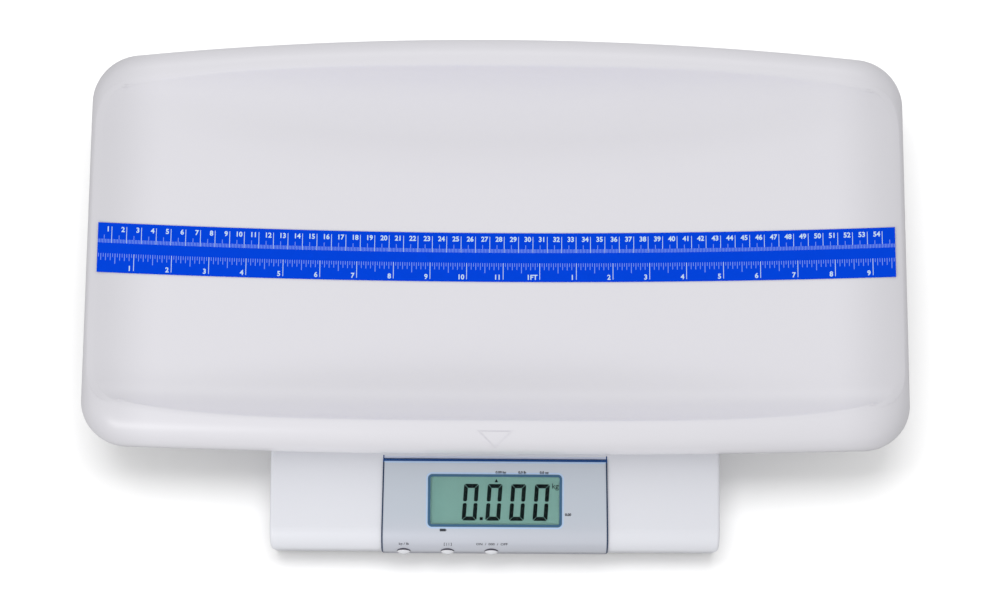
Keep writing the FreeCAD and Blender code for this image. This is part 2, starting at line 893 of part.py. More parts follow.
def make_switch_screws():
    screws = []
    for place in SWITCH_BOSSES:
        head = (f"{SWITCH_BOARD_LOW} - board_screw_head", f"{SWITCH_BOARD_LOW} - glue_gap")
        shank = (f"{SWITCH_BOARD_LOW} - board_screw_head / 2", "nose_radius - base_wall - 2 * tip_gap")
        screws.append(screw("board_screw_radius", head, shank, place))
    return on_nose(group(*screws))


def make_switches():
    """One switch under each button, bored for its plunger."""
    switches = []
    for place in BUTTONS:
        body = block(
            (f"{place} - switch_width / 2", f"{place} + switch_width / 2"),
            ("-switch_width / 2", "switch_width / 2"),
            (f"{SWITCH_LOW} + glue_gap", SWITCH_TOP),
        )
        bore = rod(
            "plunger_radius + button_fit",
            (f"{FLANGE_LOW} - glue_gap - plunger_length - button_travel - fit_gap", "nose_radius"),
            (place, "0"),
        )
        switches.append(cut(body, bore))
    return on_nose(group(*switches))


def make_button(place):
    """A domed cap on a shaft, with a flange that keeps it behind the cover."""
    crown = f"({PANEL_OUT} + button_proud)"
    ball_radius = "((button_radius ^ 2 + button_dome ^ 2) / (2 * button_dome))"
    ball = doc.addObject("Part::Sphere", "ball")
    tie(ball, "Radius", ball_radius)
    tie(ball, "Placement.Base.z", f"{crown} + button_dome - {ball_radius}")
    stem = rod("button_radius", (crown, f"{crown} + button_dome"), ("0", "0"))
    dome = shared(ball, stem)
    shaft = rod("button_radius", (f"{FLANGE_LOW} + flange_thickness / 2", crown), ("0", "0"))
    flange = rod("flange_radius", (FLANGE_LOW, FLANGE_TOP), ("0", "0"))
    return on_nose(fused(dome, shaft, flange), place)


def make_plunger(place):
    top = f"({FLANGE_LOW} - glue_gap)"
    return on_nose(group(rod("plunger_radius", (f"{top} - plunger_length", top), ("0", "0"))), place)


# ---------------------------------------------------------------- the pan and the batteries

BATTERY_ROW = "(battery_pitch * (battery_count - 1) / 2)"
BAY_HALF = f"({BATTERY_ROW} + battery_pitch / 2 + 0.5 * fit_gap)"
DOOR_TOP = PAN_TOP
BATTERY_Z = f"({DOOR_TOP} + fit_gap + joint_gap + battery_radius)"
BAY_TOP = f"({BATTERY_Z} + battery_radius + fit_gap)"
BAY_BACK = "(base_back - base_wall - rim_thickness - 2 * joint_gap - bay_wall)"
BAY_FRONT = f"({BAY_BACK} - battery_length - nub_length - 2 * contact_thickness - spring_room)"
DOOR_FRONT = f"({BAY_FRONT} - fit_gap)"
PAN_BACK = "(base_back - pan_setback)"
DOOR_HALF = f"({BAY_HALF} - door_tongue)"
CELL_MIDDLE = "tray_middle"
CHASSIS_LOW = f"({PAN_TOP} + standoff_height)"
CHASSIS_TOP = f"({CHASSIS_LOW} + chassis_thickness)"
CELL_LOW = f"({CHASSIS_TOP} + spacer_height)"
CELL_TOP = f"({CELL_LOW} + cell_height)"
FRAME_LOW = f"({CELL_TOP} + spacer_height)"
FRAME_TOP = f"({FRAME_LOW} + frame_thickness)"
STANDOFFS = mirrored_places(
    "chassis_length / 2 - standoff_inset",
    (
        f"{CELL_MIDDLE} - chassis_width / 2 + standoff_inset",
        f"{CELL_MIDDLE} + chassis_width / 2 - standoff_inset",
    ),
)


def make_pan():
    half = "(base_width / 2 - pan_setback)"
    floor = block((f"-{half}", half), ("base_front + pan_setback", PAN_BACK), ("foot_height", PAN_TOP))
    # The rim stands up just inside the cover's walls.
    reach = "(base_width / 2 - base_wall - joint_gap)"
    front = "(base_front + base_wall + joint_gap)"
    back = "(base_back - base_wall - joint_gap)"
    high = f"({PAN_TOP} + rim_height)"
    ring = cut(
        block((f"-{reach}", reach), (front, back), (ROOT, high)),
        block(
            (f"rim_thickness - {reach}", f"{reach} - rim_thickness"),
            (f"{front} + rim_thickness", f"{back} - rim_thickness"),
            ("0", f"{high} + over_cut"),
        ),
    )
    bosses = [rod("boss_radius", (ROOT, BOSS_TOP), place) for place in BOSSES]
    standoffs = [rod("standoff_radius", (ROOT, CHASSIS_LOW), place) for place in STANDOFFS]
    bay_reach = f"({BAY_HALF} + bay_side_wall)"
    bay = block(
        (f"-{bay_reach}", bay_reach),
        (f"{BAY_FRONT} - bay_wall", f"{BAY_BACK} + bay_wall"),
        (ROOT, f"{BAY_TOP} + bay_wall"),
    )
    hollow = block((f"-{BAY_HALF}", BAY_HALF), (BAY_FRONT, BAY_BACK), ("0", BAY_TOP))
    slot = block(
        (f"-{DOOR_HALF} - fit_gap", f"{DOOR_HALF} + fit_gap"),
        (DOOR_FRONT, "base_back + over_cut"),
        ("0", DOOR_TOP),
    )
    grooves = block(
        (f"-{DOOR_HALF} - door_step - fit_gap", f"{DOOR_HALF} + door_step + fit_gap"),
        (DOOR_FRONT, "base_back + over_cut"),
        (f"{PAN_TOP} - door_tongue - fit_gap", f"{PAN_TOP} + joint_gap"),
    )
    seats = [
        rod("foot_radius + fit_gap", ("0", "foot_height + foot_seat + glue_gap"), place) for place in FEET
    ]
    wells = [
        rod("2 * base_screw_radius + fit_gap", ("0", f"{PAN_TOP} - well_roof"), place)
        for place in BOSSES
    ]
    passes = [
        rod("base_screw_radius + shank_gap", ("0", f"{BOSS_TOP} + over_cut"), place)
        for place in BOSSES
    ]
    span = (f"{PAN_TOP} - standoff_bore", f"{CHASSIS_LOW} + over_cut")
    threads = [rod("chassis_screw_radius + thread_gap", span, place) for place in STANDOFFS]
    solid = fused(floor, ring, bay, *bosses, *standoffs)
    return cut(solid, hollow, slot, grooves, *seats, *wells, *passes, *threads)


def make_feet():
    feet = []
    for place in FEET:
        foot = rod("foot_radius", ("0", "foot_height + foot_seat"), place)
        feet.append(softened(foot, "foot_edge", lambda edge: near(edge.BoundBox.ZMax, 0)))
    return group(*feet)


def make_base_screws():
    screws = []
    for place in BOSSES:
        low = f"{PAN_TOP} - well_roof - base_screw_head"
        head = (low, f"{PAN_TOP} - well_roof - glue_gap")
        shank = (f"{low} + base_screw_head / 2", f"{BOSS_TOP} + base_screw_grip")
        screws.append(screw("base_screw_radius", head, shank, place))
    return group(*screws)


def make_door():
    inner = block(
        (f"-{DOOR_HALF}", DOOR_HALF), (f"{DOOR_FRONT} + fit_gap", PAN_BACK), ("foot_height", DOOR_TOP)
    )
    tongues = block(
        (f"-{DOOR_HALF} - door_step", f"{DOOR_HALF} + door_step"),
        (f"{DOOR_FRONT} + fit_gap", PAN_BACK),
        (f"{DOOR_TOP} - door_tongue", DOOR_TOP),
    )
    grips = []
    for step in range(int(amount("grip_count"))):
        middle = f"{PAN_BACK} - {step + 1} * grip_pitch"
        x = ("-grip_length / 2", "grip_length / 2")
        y = (f"{middle} - grip_width / 2", f"{middle} + grip_width / 2")
        grips.append(block(x, y, ("0", "foot_height + door_grip")))
    return cut(fused(inner, tongues), *grips)


def battery_places():
    """Each battery's x, and whether its plus end is at the back."""
    places = []
    for step in range(int(amount("battery_count"))):
        places.append((f"({step} * battery_pitch - {BATTERY_ROW})", step % 2 == 0))
    return places


def make_batteries():
    """Cells side by side, each a can with a nub at the end that meets its flat contact."""
    front_plate = f"{BAY_FRONT} + contact_thickness"
    back_plate = f"{BAY_BACK} - contact_thickness"
    cells = []
    for x, plus_back in battery_places():
        if plus_back:
            plus = f"{back_plate} - nub_length"
            case = (f"{plus} - battery_length", plus)
            nub = (plus, f"{back_plate} - glue_gap")
        else:
            plus = f"{front_plate} + nub_length"
            case = (plus, f"{plus} + battery_length")
            nub = (f"{front_plate} + glue_gap", plus)
        can = rod("battery_radius", case, (x, BATTERY_Z), "y")
        cells.append(fused(can, rod("nub_radius", nub, (x, BATTERY_Z), "y")))
    return group(*cells)


def contact_plate(x, y):
    half = "contact_size / 2"
    return block(
        (f"{x} - {half}", f"{x} + {half}"), y, (f"{BATTERY_Z} - {half}", f"{BATTERY_Z} + {half}")
    )


def make_plates():
    """A flat contact at each battery's plus end."""
    plates = []
    for x, plus_back in battery_places():
        if plus_back:
            y = (f"{BAY_BACK} - contact_thickness", f"{BAY_BACK} - glue_gap")
        else:
            y = (f"{BAY_FRONT} + glue_gap", f"{BAY_FRONT} + contact_thickness")
        plates.append(contact_plate(x, y))
    return group(*plates)


def make_springs():
    """A leaf contact at each battery's minus end: a plate and a bent tongue from its foot."""
    springs = []
    for x, plus_back in battery_places():
        body = new_body("leaf")
        sign = 1 if plus_back else -1
        wall = BAY_FRONT if plus_back else BAY_BACK
        low = f"({BATTERY_Z} - contact_size / 2)"
        reach = "(spring_room + contact_thickness - glue_gap)"
        stations = [
            ("glue_gap", f"{low} + contact_size"),
            ("glue_gap", low),
            ("glue_gap + contact_thickness", low),
            (reach, f"{low} + contact_size * 0.55"),
            ("0.55 * spring_room", f"{low} + contact_size * 0.85"),
            ("0.55 * spring_room - contact_thickness", f"{low} + contact_size * 0.8"),
            (f"{reach} - 1.7 * contact_thickness", f"{low} + contact_size * 0.55"),
            ("glue_gap + contact_thickness", f"{low} + 2 * contact_thickness"),
            ("glue_gap + contact_thickness", f"{low} + contact_size"),
        ]
        corners = [(f"{wall} + {sign} * ({across})", up) for across, up in stations]
        padded(body, outline(body, "YZ_Plane", corners), "contact_size * 0.6", True)
        tie(body, "Placement.Base.x", x)
        springs.append(body)
    return group(*springs)


# ---------------------------------------------------------------- the weighing works

def make_chassis():
    half = "(chassis_length / 2)"
    slab = block(
        (f"-{half}", half),
        (f"{CELL_MIDDLE} - chassis_width / 2", f"{CELL_MIDDLE} + chassis_width / 2"),
        (CHASSIS_LOW, CHASSIS_TOP),
    )
    slab = softened(slab, "chassis_corner", upright)
    deep = ("0", f"{CHASSIS_TOP} + over_cut")
    holes = [rod("chassis_screw_radius + shank_gap", deep, place) for place in STANDOFFS]
    holes += [rod("cell_bolt_radius + shank_gap", deep, place) for place in LOWER_BOLTS]
    holes += [rod("cell_bolt_radius + thread_gap", deep, place) for place in STOPS]
    return cut(slab, *holes)


BOLT_X = "(cell_length / 2 - spacer_length / 2)"
LOWER_BOLTS = [
    (f"-{BOLT_X} - cell_bolt_pitch / 2", CELL_MIDDLE),
    (f"-{BOLT_X} + cell_bolt_pitch / 2", CELL_MIDDLE),
]
UPPER_BOLTS = [
    (f"{BOLT_X} - cell_bolt_pitch / 2", CELL_MIDDLE),
    (f"{BOLT_X} + cell_bolt_pitch / 2", CELL_MIDDLE),
]
STOPS = [
    ("stop_place", f"{CELL_MIDDLE} - stop_pitch / 2"),
    ("stop_place", f"{CELL_MIDDLE} + stop_pitch / 2"),
]
CELL_SIDES = (f"{CELL_MIDDLE} - cell_width / 2", f"{CELL_MIDDLE} + cell_width / 2")


def make_chassis_screws():
    screws = []
    for place in STANDOFFS:
        head = (f"{CHASSIS_TOP} + glue_gap", f"{CHASSIS_TOP} + bolt_head")
        shank = (f"{PAN_TOP} - standoff_bore + tip_gap", f"{CHASSIS_TOP} + bolt_head / 2")
        screws.append(screw("chassis_screw_radius", head, shank, place))
    return group(*screws)


def spacer(sign, z, bolts):
    near_end = f"{sign}(cell_length / 2 - spacer_length)"
    far_end = f"{sign}(cell_length / 2)"
    x = (far_end, near_end) if sign == "-" else (near_end, far_end)
    slab = block(x, CELL_SIDES, z)
    holes = [rod("cell_bolt_radius + shank_gap", ("0", "base_top"), place) for place in bolts]
    return cut(slab, *holes)


def make_load_cell():
    """A beam with two bores joined by a slot, which leaves it thin over and under each bore."""
    middle = f"({CELL_LOW} + cell_height / 2)"
    beam = block(("-cell_length / 2", "cell_length / 2"), CELL_SIDES, (CELL_LOW, CELL_TOP))
    through = (f"{CELL_SIDES[0]} - over_cut", f"{CELL_SIDES[1]} + over_cut")
    bores = [
        rod("cell_bore", through, (f"{sign}cell_bore_pitch / 2", middle), "y") for sign in ("-", "")
    ]
    slot = block(
        ("-cell_bore_pitch / 2", "cell_bore_pitch / 2"),
        through,
        (f"{middle} - cell_slot / 2", f"{middle} + cell_slot / 2"),
    )
    low = (f"{CELL_LOW} - over_cut", f"{CELL_LOW} + cell_bolt_grip + tip_gap")
    high = (f"{CELL_TOP} - cell_bolt_grip - tip_gap", f"{CELL_TOP} + over_cut")
    threads = [rod("cell_bolt_radius + thread_gap", low, place) for place in LOWER_BOLTS]
    threads += [rod("cell_bolt_radius + thread_gap", high, place) for place in UPPER_BOLTS]
    return cut(beam, *bores, slot, *threads)


def make_seals():
    """Sealant over the gauges, on top of and under each bore."""
    seals = []
    for sign in ("-", ""):
        middle = f"({sign}cell_bore_pitch / 2)"
        x = (f"{middle} - seal_length / 2", f"{middle} + seal_length / 2")
        y = (f"{CELL_SIDES[0]} + seal_inset", f"{CELL_SIDES[1]} - seal_inset")
        seals.append(block(x, y, (f"{CELL_TOP} + glue_gap", f"{CELL_TOP} + seal_thickness")))
        seals.append(block(x, y, (f"{CELL_LOW} - seal_thickness", f"{CELL_LOW} - glue_gap")))
    return group(*seals)


def make_cell_bolts():
    bolts = []
    for place in LOWER_BOLTS:
        head = (f"{CHASSIS_LOW} - bolt_head", f"{CHASSIS_LOW} - glue_gap")
        shank = (f"{CHASSIS_LOW} - bolt_head / 2", f"{CELL_LOW} + cell_bolt_grip")
        bolts.append(screw("cell_bolt_radius", head, shank, place))
    for place in UPPER_BOLTS:
        head = (f"{FRAME_TOP} + glue_gap", f"{FRAME_TOP} + bolt_head")
        shank = (f"{CELL_TOP} - cell_bolt_grip", f"{FRAME_TOP} + bolt_head / 2")
        bolts.append(screw("cell_bolt_radius", head, shank, place))
    return group(*bolts)


def make_frame():
    """A pressed plate on the load cell's free end, with round holes that lighten it."""
    half = "(frame_length / 2)"
    slab = block(
        (f"-{half}", half),
        ("tray_middle - frame_width / 2", "tray_middle + frame_width / 2"),
        (FRAME_LOW, FRAME_TOP),
    )
    slab = softened(slab, "frame_corner", upright)
    deep = (f"{FRAME_LOW} - over_cut", f"{FRAME_TOP} + over_cut")
    holes = [rod("post_stub + thread_gap", deep, place) for place in POSTS]
    holes += [rod("cell_bolt_radius + shank_gap", deep, place) for place in UPPER_BOLTS]
    for x in ("-frame_length / 4", "0", "frame_length / 4"):
        for y in ("-frame_width / 3", "frame_width / 3"):
            holes.append(rod("frame_hole", deep, (x, f"tray_middle + {y}")))
    return cut(slab, *holes)


def make_posts():
    posts = []
    for place in POSTS:
        flange = rod(
            "post_flange_radius", (f"{FRAME_TOP} + glue_gap", f"{FRAME_TOP} + post_flange"), place
        )
        shaft = rod("post_radius", (f"{FRAME_TOP} + glue_gap", "post_top"), place)
        stub = rod("post_stub", (FRAME_LOW, f"{FRAME_TOP} + post_flange / 2"), place)
        posts.append(fused(flange, shaft, stub))
    return group(*posts)


def make_caps():
    caps = []
    for place in POSTS:
        outside = rod("cap_radius", ("cap_low", "tray_floor - seat_gap"), place)
        bore = rod("post_radius + thread_gap", ("0", "post_top + seat_gap"), place)
        caps.append(cut(outside, bore))
    return group(*caps)


def make_stops():
    """Screws that stand just under the frame and catch it when the load is too great."""
    stops = []
    for place in STOPS:
        top = f"{FRAME_LOW} - stop_gap"
        nut = rod("stop_radius", (f"{CHASSIS_TOP} + glue_gap", f"{CHASSIS_TOP} + bolt_head"), place)
        shank = rod("cell_bolt_radius", (CHASSIS_LOW, f"{top} - bolt_head / 2"), place)
        head = rod("stop_radius", (f"{top} - bolt_head", top), place)
        stops.append(fused(nut, shank, head))
    return group(*stops)


# ---------------------------------------------------------------- wires

def slope_place(x, y, z):
    """Where a point of the sloping front's own frame lies in the part's frame."""
    turn = FreeCAD.Rotation(FreeCAD.Vector(1, 0, 0), amount("slope_angle"))
    base = FreeCAD.Vector(0, amount("slope_start"), amount("base_top"))
    return base + turn.multVec(FreeCAD.Vector(amount(x), amount(y), amount(z)))


def nose_place(x, y, z):
    turn = FreeCAD.Rotation(FreeCAD.Vector(1, 0, 0), 90 - amount("button_angle"))
    base = FreeCAD.Vector(0, amount(NOSE_Y), amount(NOSE_Z))
    return base + turn.multVec(FreeCAD.Vector(amount(x), amount(y), amount(z)))


def wire_route(points):
    """Straight runs joined by arcs that are as large as the runs allow."""
    edges = []
    start = points[0]
    for before, corner, after in zip(points, points[1:], points[2:]):
        arriving = (corner - before).normalize()
        leaving = (after - corner).normalize()
        reach = 0.45 * min((corner - before).Length, (after - corner).Length)
        entry = corner - arriving * reach
        leave = corner + leaving * reach
        turn = arriving.getAngle(leaving)
        radius = reach / math.tan(turn / 2)
        inward = (leaving - arriving).normalize()
        centre = corner + inward * (radius / math.cos(turn / 2))
        middle = centre - inward * radius
        edges.append(Part.LineSegment(start, entry).toShape())
        edges.append(Part.Arc(entry, middle, leave).toShape())
        start = leave
    edges.append(Part.LineSegment(start, points[-1]).toShape())
    return Part.Wire(edges)


def wire(radius, points):
    """A round wire along a route."""
    route = wire_route(points)
    start = points[0]
    ring = Part.Circle(start, points[1] - points[0], amount(radius)).toShape()
    tube = route.makePipeShell([Part.Wire([ring])], True, True)
    expected = math.pi * amount(radius) ** 2 * route.Length
    assert abs(tube.Volume - expected) < 0.02 * expected, "a wire's volume is off"
    piece = doc.addObject("Part::Feature", "wire")
    piece.Shape = tube
    return piece


def header_foot(header):
    """Just under a header on the board's back, and a point further down its lead."""
    x, y = header
    end = slope_place(x, y, f"{PART_TOP} - header_height - glue_gap")
    lead = slope_place(x, y, f"{PART_TOP} - header_height - wire_lead")
    return end, lead


def make_battery_wires():
    """From the bay's front wall, round the chassis plate, to the board."""
    end, lead = header_foot(BATTERY_HEADER)
    level = amount(f"{PAN_TOP} + wire_swing / 3")
    high = amount(f"{PAN_TOP} + wire_lead")
    side = -amount("chassis_length / 2 + wire_swing")
    corner = -amount("chassis_length / 2")
    start_x = -amount(f"{BAY_HALF} - wire_swing")
    start_y = amount(f"{BAY_FRONT} - bay_wall - glue_gap")
    away_y = start_y - amount("wire_lead")
    back_y = amount("tray_middle + wire_swing")
    front_y = amount("tray_middle - chassis_width / 2 - wire_lead")
    board_y = amount("base_front + board_low + wire_swing + wire_lead * 3 / 2")
    points = [
        FreeCAD.Vector(start_x, start_y, high),
        FreeCAD.Vector(start_x, away_y, high),
        FreeCAD.Vector(corner, away_y, level),
        FreeCAD.Vector(side, back_y, level),
        FreeCAD.Vector(side, front_y, level),
        FreeCAD.Vector(corner, (front_y + board_y) / 2, level),
        FreeCAD.Vector((corner + lead.x) / 2, board_y, level),
        lead,
        end,
    ]
    return wire("wire_radius", points)


def make_cell_cable():
    """From the load cell's front side to the board."""
    end, lead = header_foot(CELL_HEADER)
    level = amount(f"{CELL_LOW} + cell_height / 2")
    low = amount(f"{CELL_LOW} + wire_radius + fit_gap")
    start_x = -amount("cell_length / 2 - spacer_length")
    start_y = amount(f"{CELL_SIDES[0]} - glue_gap")
    away_y = start_y - amount("wire_swing")
    near_y = lead.y + amount("wire_swing")
    points = [
        FreeCAD.Vector(start_x, start_y, level),
        FreeCAD.Vector(start_x, away_y, level),
        FreeCAD.Vector((2 * start_x + lead.x) / 3, (2 * away_y + near_y) / 3, low),
        FreeCAD.Vector((start_x + 2 * lead.x) / 3, (away_y + 2 * near_y) / 3, low),
        FreeCAD.Vector(lead.x, near_y, lead.z),
        lead,
        end,
    ]
    return wire("wire_radius", points)


def make_button_cable():
    """From the back of the button board to the main board."""
    end, lead = header_foot(BUTTON_HEADER)
    middle = "(unit_button_x + hold_button_x) / 2"
    start = nose_place(middle, "0", f"{SWITCH_BOARD_LOW} - glue_gap")
    away = nose_place(middle, "0", f"{SWITCH_BOARD_LOW} - wire_lead")
    return wire("ribbon_radius", [start, away, lead, end])


# ---------------------------------------------------------------- the whole scale

NODES = {
    "tray": make_tray(),
    "measuring_tape": make_tape(),
    "base_cover": make_cover(),
    "base_pan": make_pan(),
    "rubber_feet": make_feet(),
    "base_screws": make_base_screws(),
    "display_panel": make_panel(),
    "panel_trim": make_trim(),
    "window_border": make_border(),
    "display_lens": make_lens(),
    "lcd_glass": make_glass(),
    "lcd_bezel": make_bezel(),
    "lcd_connectors": make_connectors(),
    "main_board": make_board(),
    "board_components": make_components(),
    "board_screws": make_board_screws(),
    "button_board": make_switch_board(),
    "button_board_screws": make_switch_screws(),
    "switch_bodies": make_switches(),
    "unit_button": make_button("unit_button_x"),
    "hold_button": make_button("hold_button_x"),
    "power_button": make_button("power_button_x"),
    "unit_plunger": make_plunger("unit_button_x"),
    "hold_plunger": make_plunger("hold_button_x"),
    "power_plunger": make_plunger("power_button_x"),
    "battery_door": make_door(),
    "battery_cells": make_batteries(),
    "battery_plates": make_plates(),
    "battery_springs": make_springs(),
    "chassis_plate": make_chassis(),
    "chassis_screws": make_chassis_screws(),
    "lower_spacer": spacer("-", (CHASSIS_TOP, CELL_LOW), LOWER_BOLTS),
    "load_cell": make_load_cell(),
    "gauge_seals": make_seals(),
    "upper_spacer": spacer("", (CELL_TOP, FRAME_LOW), UPPER_BOLTS),
    "load_cell_bolts": make_cell_bolts(),
    "weighing_frame": make_frame(),
    "frame_posts": make_posts(),
    "post_caps": make_caps(),
    "overload_stops": make_stops(),
    "battery_wires": make_battery_wires(),
    "load_cell_cable": make_cell_cable(),
    "button_wires": make_button_cable(),
}

for label, piece in NODES.items():
    piece.Label = label
doc.recompute()

for thing in doc.Objects:
    if "Invalid" in thing.State or "Error" in thing.State:
        raise SystemExit(f"{thing.Name} ({thing.Label}) failed: {thing.State}")
for label, piece in NODES.items():
    if piece.Shape.isNull() or not piece.Shape.isValid() or not piece.Shape.Solids:
        raise SystemExit(f"{label} has no valid solid")

os.makedirs("parts", exist_ok=True)
for label, piece in NODES.items():
    piece.Shape.exportStep(f"parts/{label}.step")
print(f"wrote {len(NODES)} pieces")
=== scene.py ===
"""Dress the baby weighing scale: tray, measuring tape, base, display, buttons and studio."""

import math

import bmesh
import bpy
from mathutils import Matrix, Vector


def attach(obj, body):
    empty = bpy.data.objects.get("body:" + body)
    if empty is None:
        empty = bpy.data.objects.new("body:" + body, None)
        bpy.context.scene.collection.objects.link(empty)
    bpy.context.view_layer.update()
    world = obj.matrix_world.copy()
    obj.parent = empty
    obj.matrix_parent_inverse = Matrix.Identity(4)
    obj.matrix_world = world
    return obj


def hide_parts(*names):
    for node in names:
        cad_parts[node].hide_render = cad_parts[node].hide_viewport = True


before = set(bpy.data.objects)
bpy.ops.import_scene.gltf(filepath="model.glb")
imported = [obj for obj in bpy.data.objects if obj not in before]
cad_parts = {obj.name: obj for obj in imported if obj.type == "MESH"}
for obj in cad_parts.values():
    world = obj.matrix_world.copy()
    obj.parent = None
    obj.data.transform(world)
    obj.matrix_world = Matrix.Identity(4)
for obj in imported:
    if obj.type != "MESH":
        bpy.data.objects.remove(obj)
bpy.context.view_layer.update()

bl_info = {
    "name": "Baby weighing scale",
    "version": (1, 0, 0),
    "blender": (4, 5, 0),
    "location": "View3D > Sidebar > Scale",
    "description": "Builds the looks of a baby weighing scale around its measured solids",
    "category": "Object",
}

MM = 0.001
CAPITAL = 0.7  # The share of a type's size that its capitals stand high.
HALVINGS = 48  # Halvings in the search for the crease.


# ---------------------------------------------------------------- sizes and colours

def length(label, value, about):
    """A length in metres, given in millimetres."""
    return bpy.props.FloatProperty(
        name=label, description=about, default=value * MM, min=0, unit="LENGTH", precision=5
    )


def count(label, value, about):
    return bpy.props.IntProperty(name=label, description=about, default=value, min=1)


def number(label, value, about):
    return bpy.props.FloatProperty(name=label, description=about, default=value)


def angle(label, value, about):
    """An angle in radians, given in degrees."""
    return bpy.props.FloatProperty(
        name=label, description=about, default=math.radians(value), subtype="ANGLE"
    )


def colour(label, value, about):
    return bpy.props.FloatVectorProperty(
        name=label, description=about, default=value, size=3, subtype="COLOR", min=0, max=1
    )


class TrayShape(bpy.types.PropertyGroup):
    half_length: length("Half length", 281.25, "From the tray's middle to either end")
    front: length("Front reach", 111.5, "From the part's middle to the tray's front edge")
    back: length("Back reach", 177.5, "From the part's middle to the tray's back edge")
    front_bow: length("Front bow", 4.8, "How far the front edge bows out")
    back_bow: length("Back bow", 16.3, "How far the back edge bows out")
    front_corner: length("Front corner", 31, "Radius of the plan's two corners in front")
    back_corner: length("Back corner", 34, "Radius of the plan's two corners at the back")
    crest: length("Crest height", 100, "Height of the rim's top")
    roll: length("Rim radius", 22, "Radius of the rolled rim")
    skirt: length("Skirt bottom", 72, "Height of the skirt's lower edge")
    wall: length("Wall", 3, "Thickness of the shell")
    floor: length("Floor height", 62, "Height of the tray's lowest line")
    sweep: length("Trough radius", 1233, "Radius of the curve along the tray")
    front_wall: length("Front wall", 90.5, "How far forward the trough's front wall stands")
    front_round: length("Front round", 38, "Radius between the floor and the front wall")
    back_wall: length("Back wall", 154, "How far back the trough's back wall stands at the crest")
    back_round: length("Back round", 46, "Radius between the floor and the back wall")
    back_lean: angle("Back lean", 10, "How far the back wall leans out")
    crease: length("Crease radius", 2.4, "Rounding where the trough meets the rim")
    melt: count("Melt", 12, "How much the crease is softened at the tray's ends")
    melt_reach: length("Melt reach", 48, "How far from the ends the softening starts")
    melt_height: length("Melt height", 84, "Height above which the ends are softened")
    edge: length("Edge radius", 0.7, "Rounding of the skirt's lower edge")
    mark_width: length("Mark width", 24, "Width of the pointer pressed into the front lip")
    mark_length: length("Mark length", 11.2, "Length of the pointer")
    mark_front: length("Mark front", 108.7, "How far forward the pointer's tip lies")
    mark_line: length("Mark line", 0.8, "Width of the pointer's line")
    mark_depth: length("Mark depth", 0.5, "Depth of the pointer's line")
    socket_radius: length("Socket radius", 8.3, "Bore of a socket that takes a post's cap")
    socket_wall: length("Socket wall", 3.5, "Thickness of a socket's wall")
    socket_low: length("Socket bottom", 56, "Height of the sockets' lower ends")
    socket_top: length("Socket top", 64.9, "Height at which the sockets end inside the shell")
    socket_side: length("Socket side", 100, "From the tray's middle to a socket, along the tray")
    socket_front: length("Socket front", 37, "How far forward the front sockets lie")
    socket_back: length("Socket back", 103, "How far back the rear sockets lie")
    long_steps: count("Long steps", 84, "Faces along the straight of a long side")
    short_steps: count("Short steps", 50, "Faces along the straight of a short side")
    corner_steps: count("Corner steps", 8, "Faces round half a corner")
    rim_steps: count("Rim steps", 14, "Faces from the crease to the skirt")


class TapeShape(bpy.types.PropertyGroup):
    length: length("Length", 548, "Length of the tape along the tray")
    width: length("Width", 34.4, "Width of the tape")
    middle: length("Middle", 26.5, "How far back the tape's middle lies")
    lift: length("Lift", 0.3, "Gap between the tray and the tape's underside")
    thickness: length("Thickness", 0.25, "Thickness of the film")
    ink: length("Ink", 0.05, "How far the print stands on the film")
    steps: count("Steps", 120, "Faces along the tape")
    zero: length("Zero mark", 274.7, "From the tape's zero mark to the tray's middle")
    number_height: length("Number height", 3.35, "Height of the centimetre numbers")
    line: length("Line width", 0.34, "Width of a tick")


class DisplayShape(bpy.types.PropertyGroup):
    slope_start: length("Slope start", 99, "How far forward the sloping face starts")
    slope_top: length("Slope top", 52, "Height at which the sloping face starts")
    slope: angle("Slope", 5, "Fall of the front face")
    panel_top: length("Panel top", 14, "From the slope's start down to the panel's frame")
    panel_width: length("Panel width", 154.4, "Width of the panel's frame at its top")
    window_width: length("Window width", 92.4, "Width over the window's border")
    window_height: length("Window height", 36.2, "Height over the window's border")
    window_middle: length("Window middle", 42.3, "From the slope's start to the window's middle")
    window_corner: length("Window corner", 3, "Radius of the border's corners")
    digit_height: length("Digit height", 25.1, "Height of a digit")
    digit_width: length("Digit width", 10.2, "Width of a digit before it slants")
    digit_pitch: length("Digit pitch", 16.27, "From one digit to the next")
    stroke: length("Stroke", 2.75, "Width of a digit's bars")
    gap: length("Gap", 0.12, "Gap between a digit's bars")
    slant: angle("Slant", 3.9, "Lean of the digits")
    nose_front: length("Nose axis front", 158.5, "How far forward the round nose's axis lies")
    nose_height: length("Nose axis height", 30.733, "Height of the round nose's axis")
    label_lean: angle("Label lean", 46, "How far the nose's face has turned at the labels")
    label_reach: length("Label reach", 17.07, "From the nose's axis to the labels' print")
    button_lean: angle("Button lean", 12, "How far the buttons look up")
    crown_reach: length("Crown reach", 17.57, "From the nose's axis to where a crown starts")


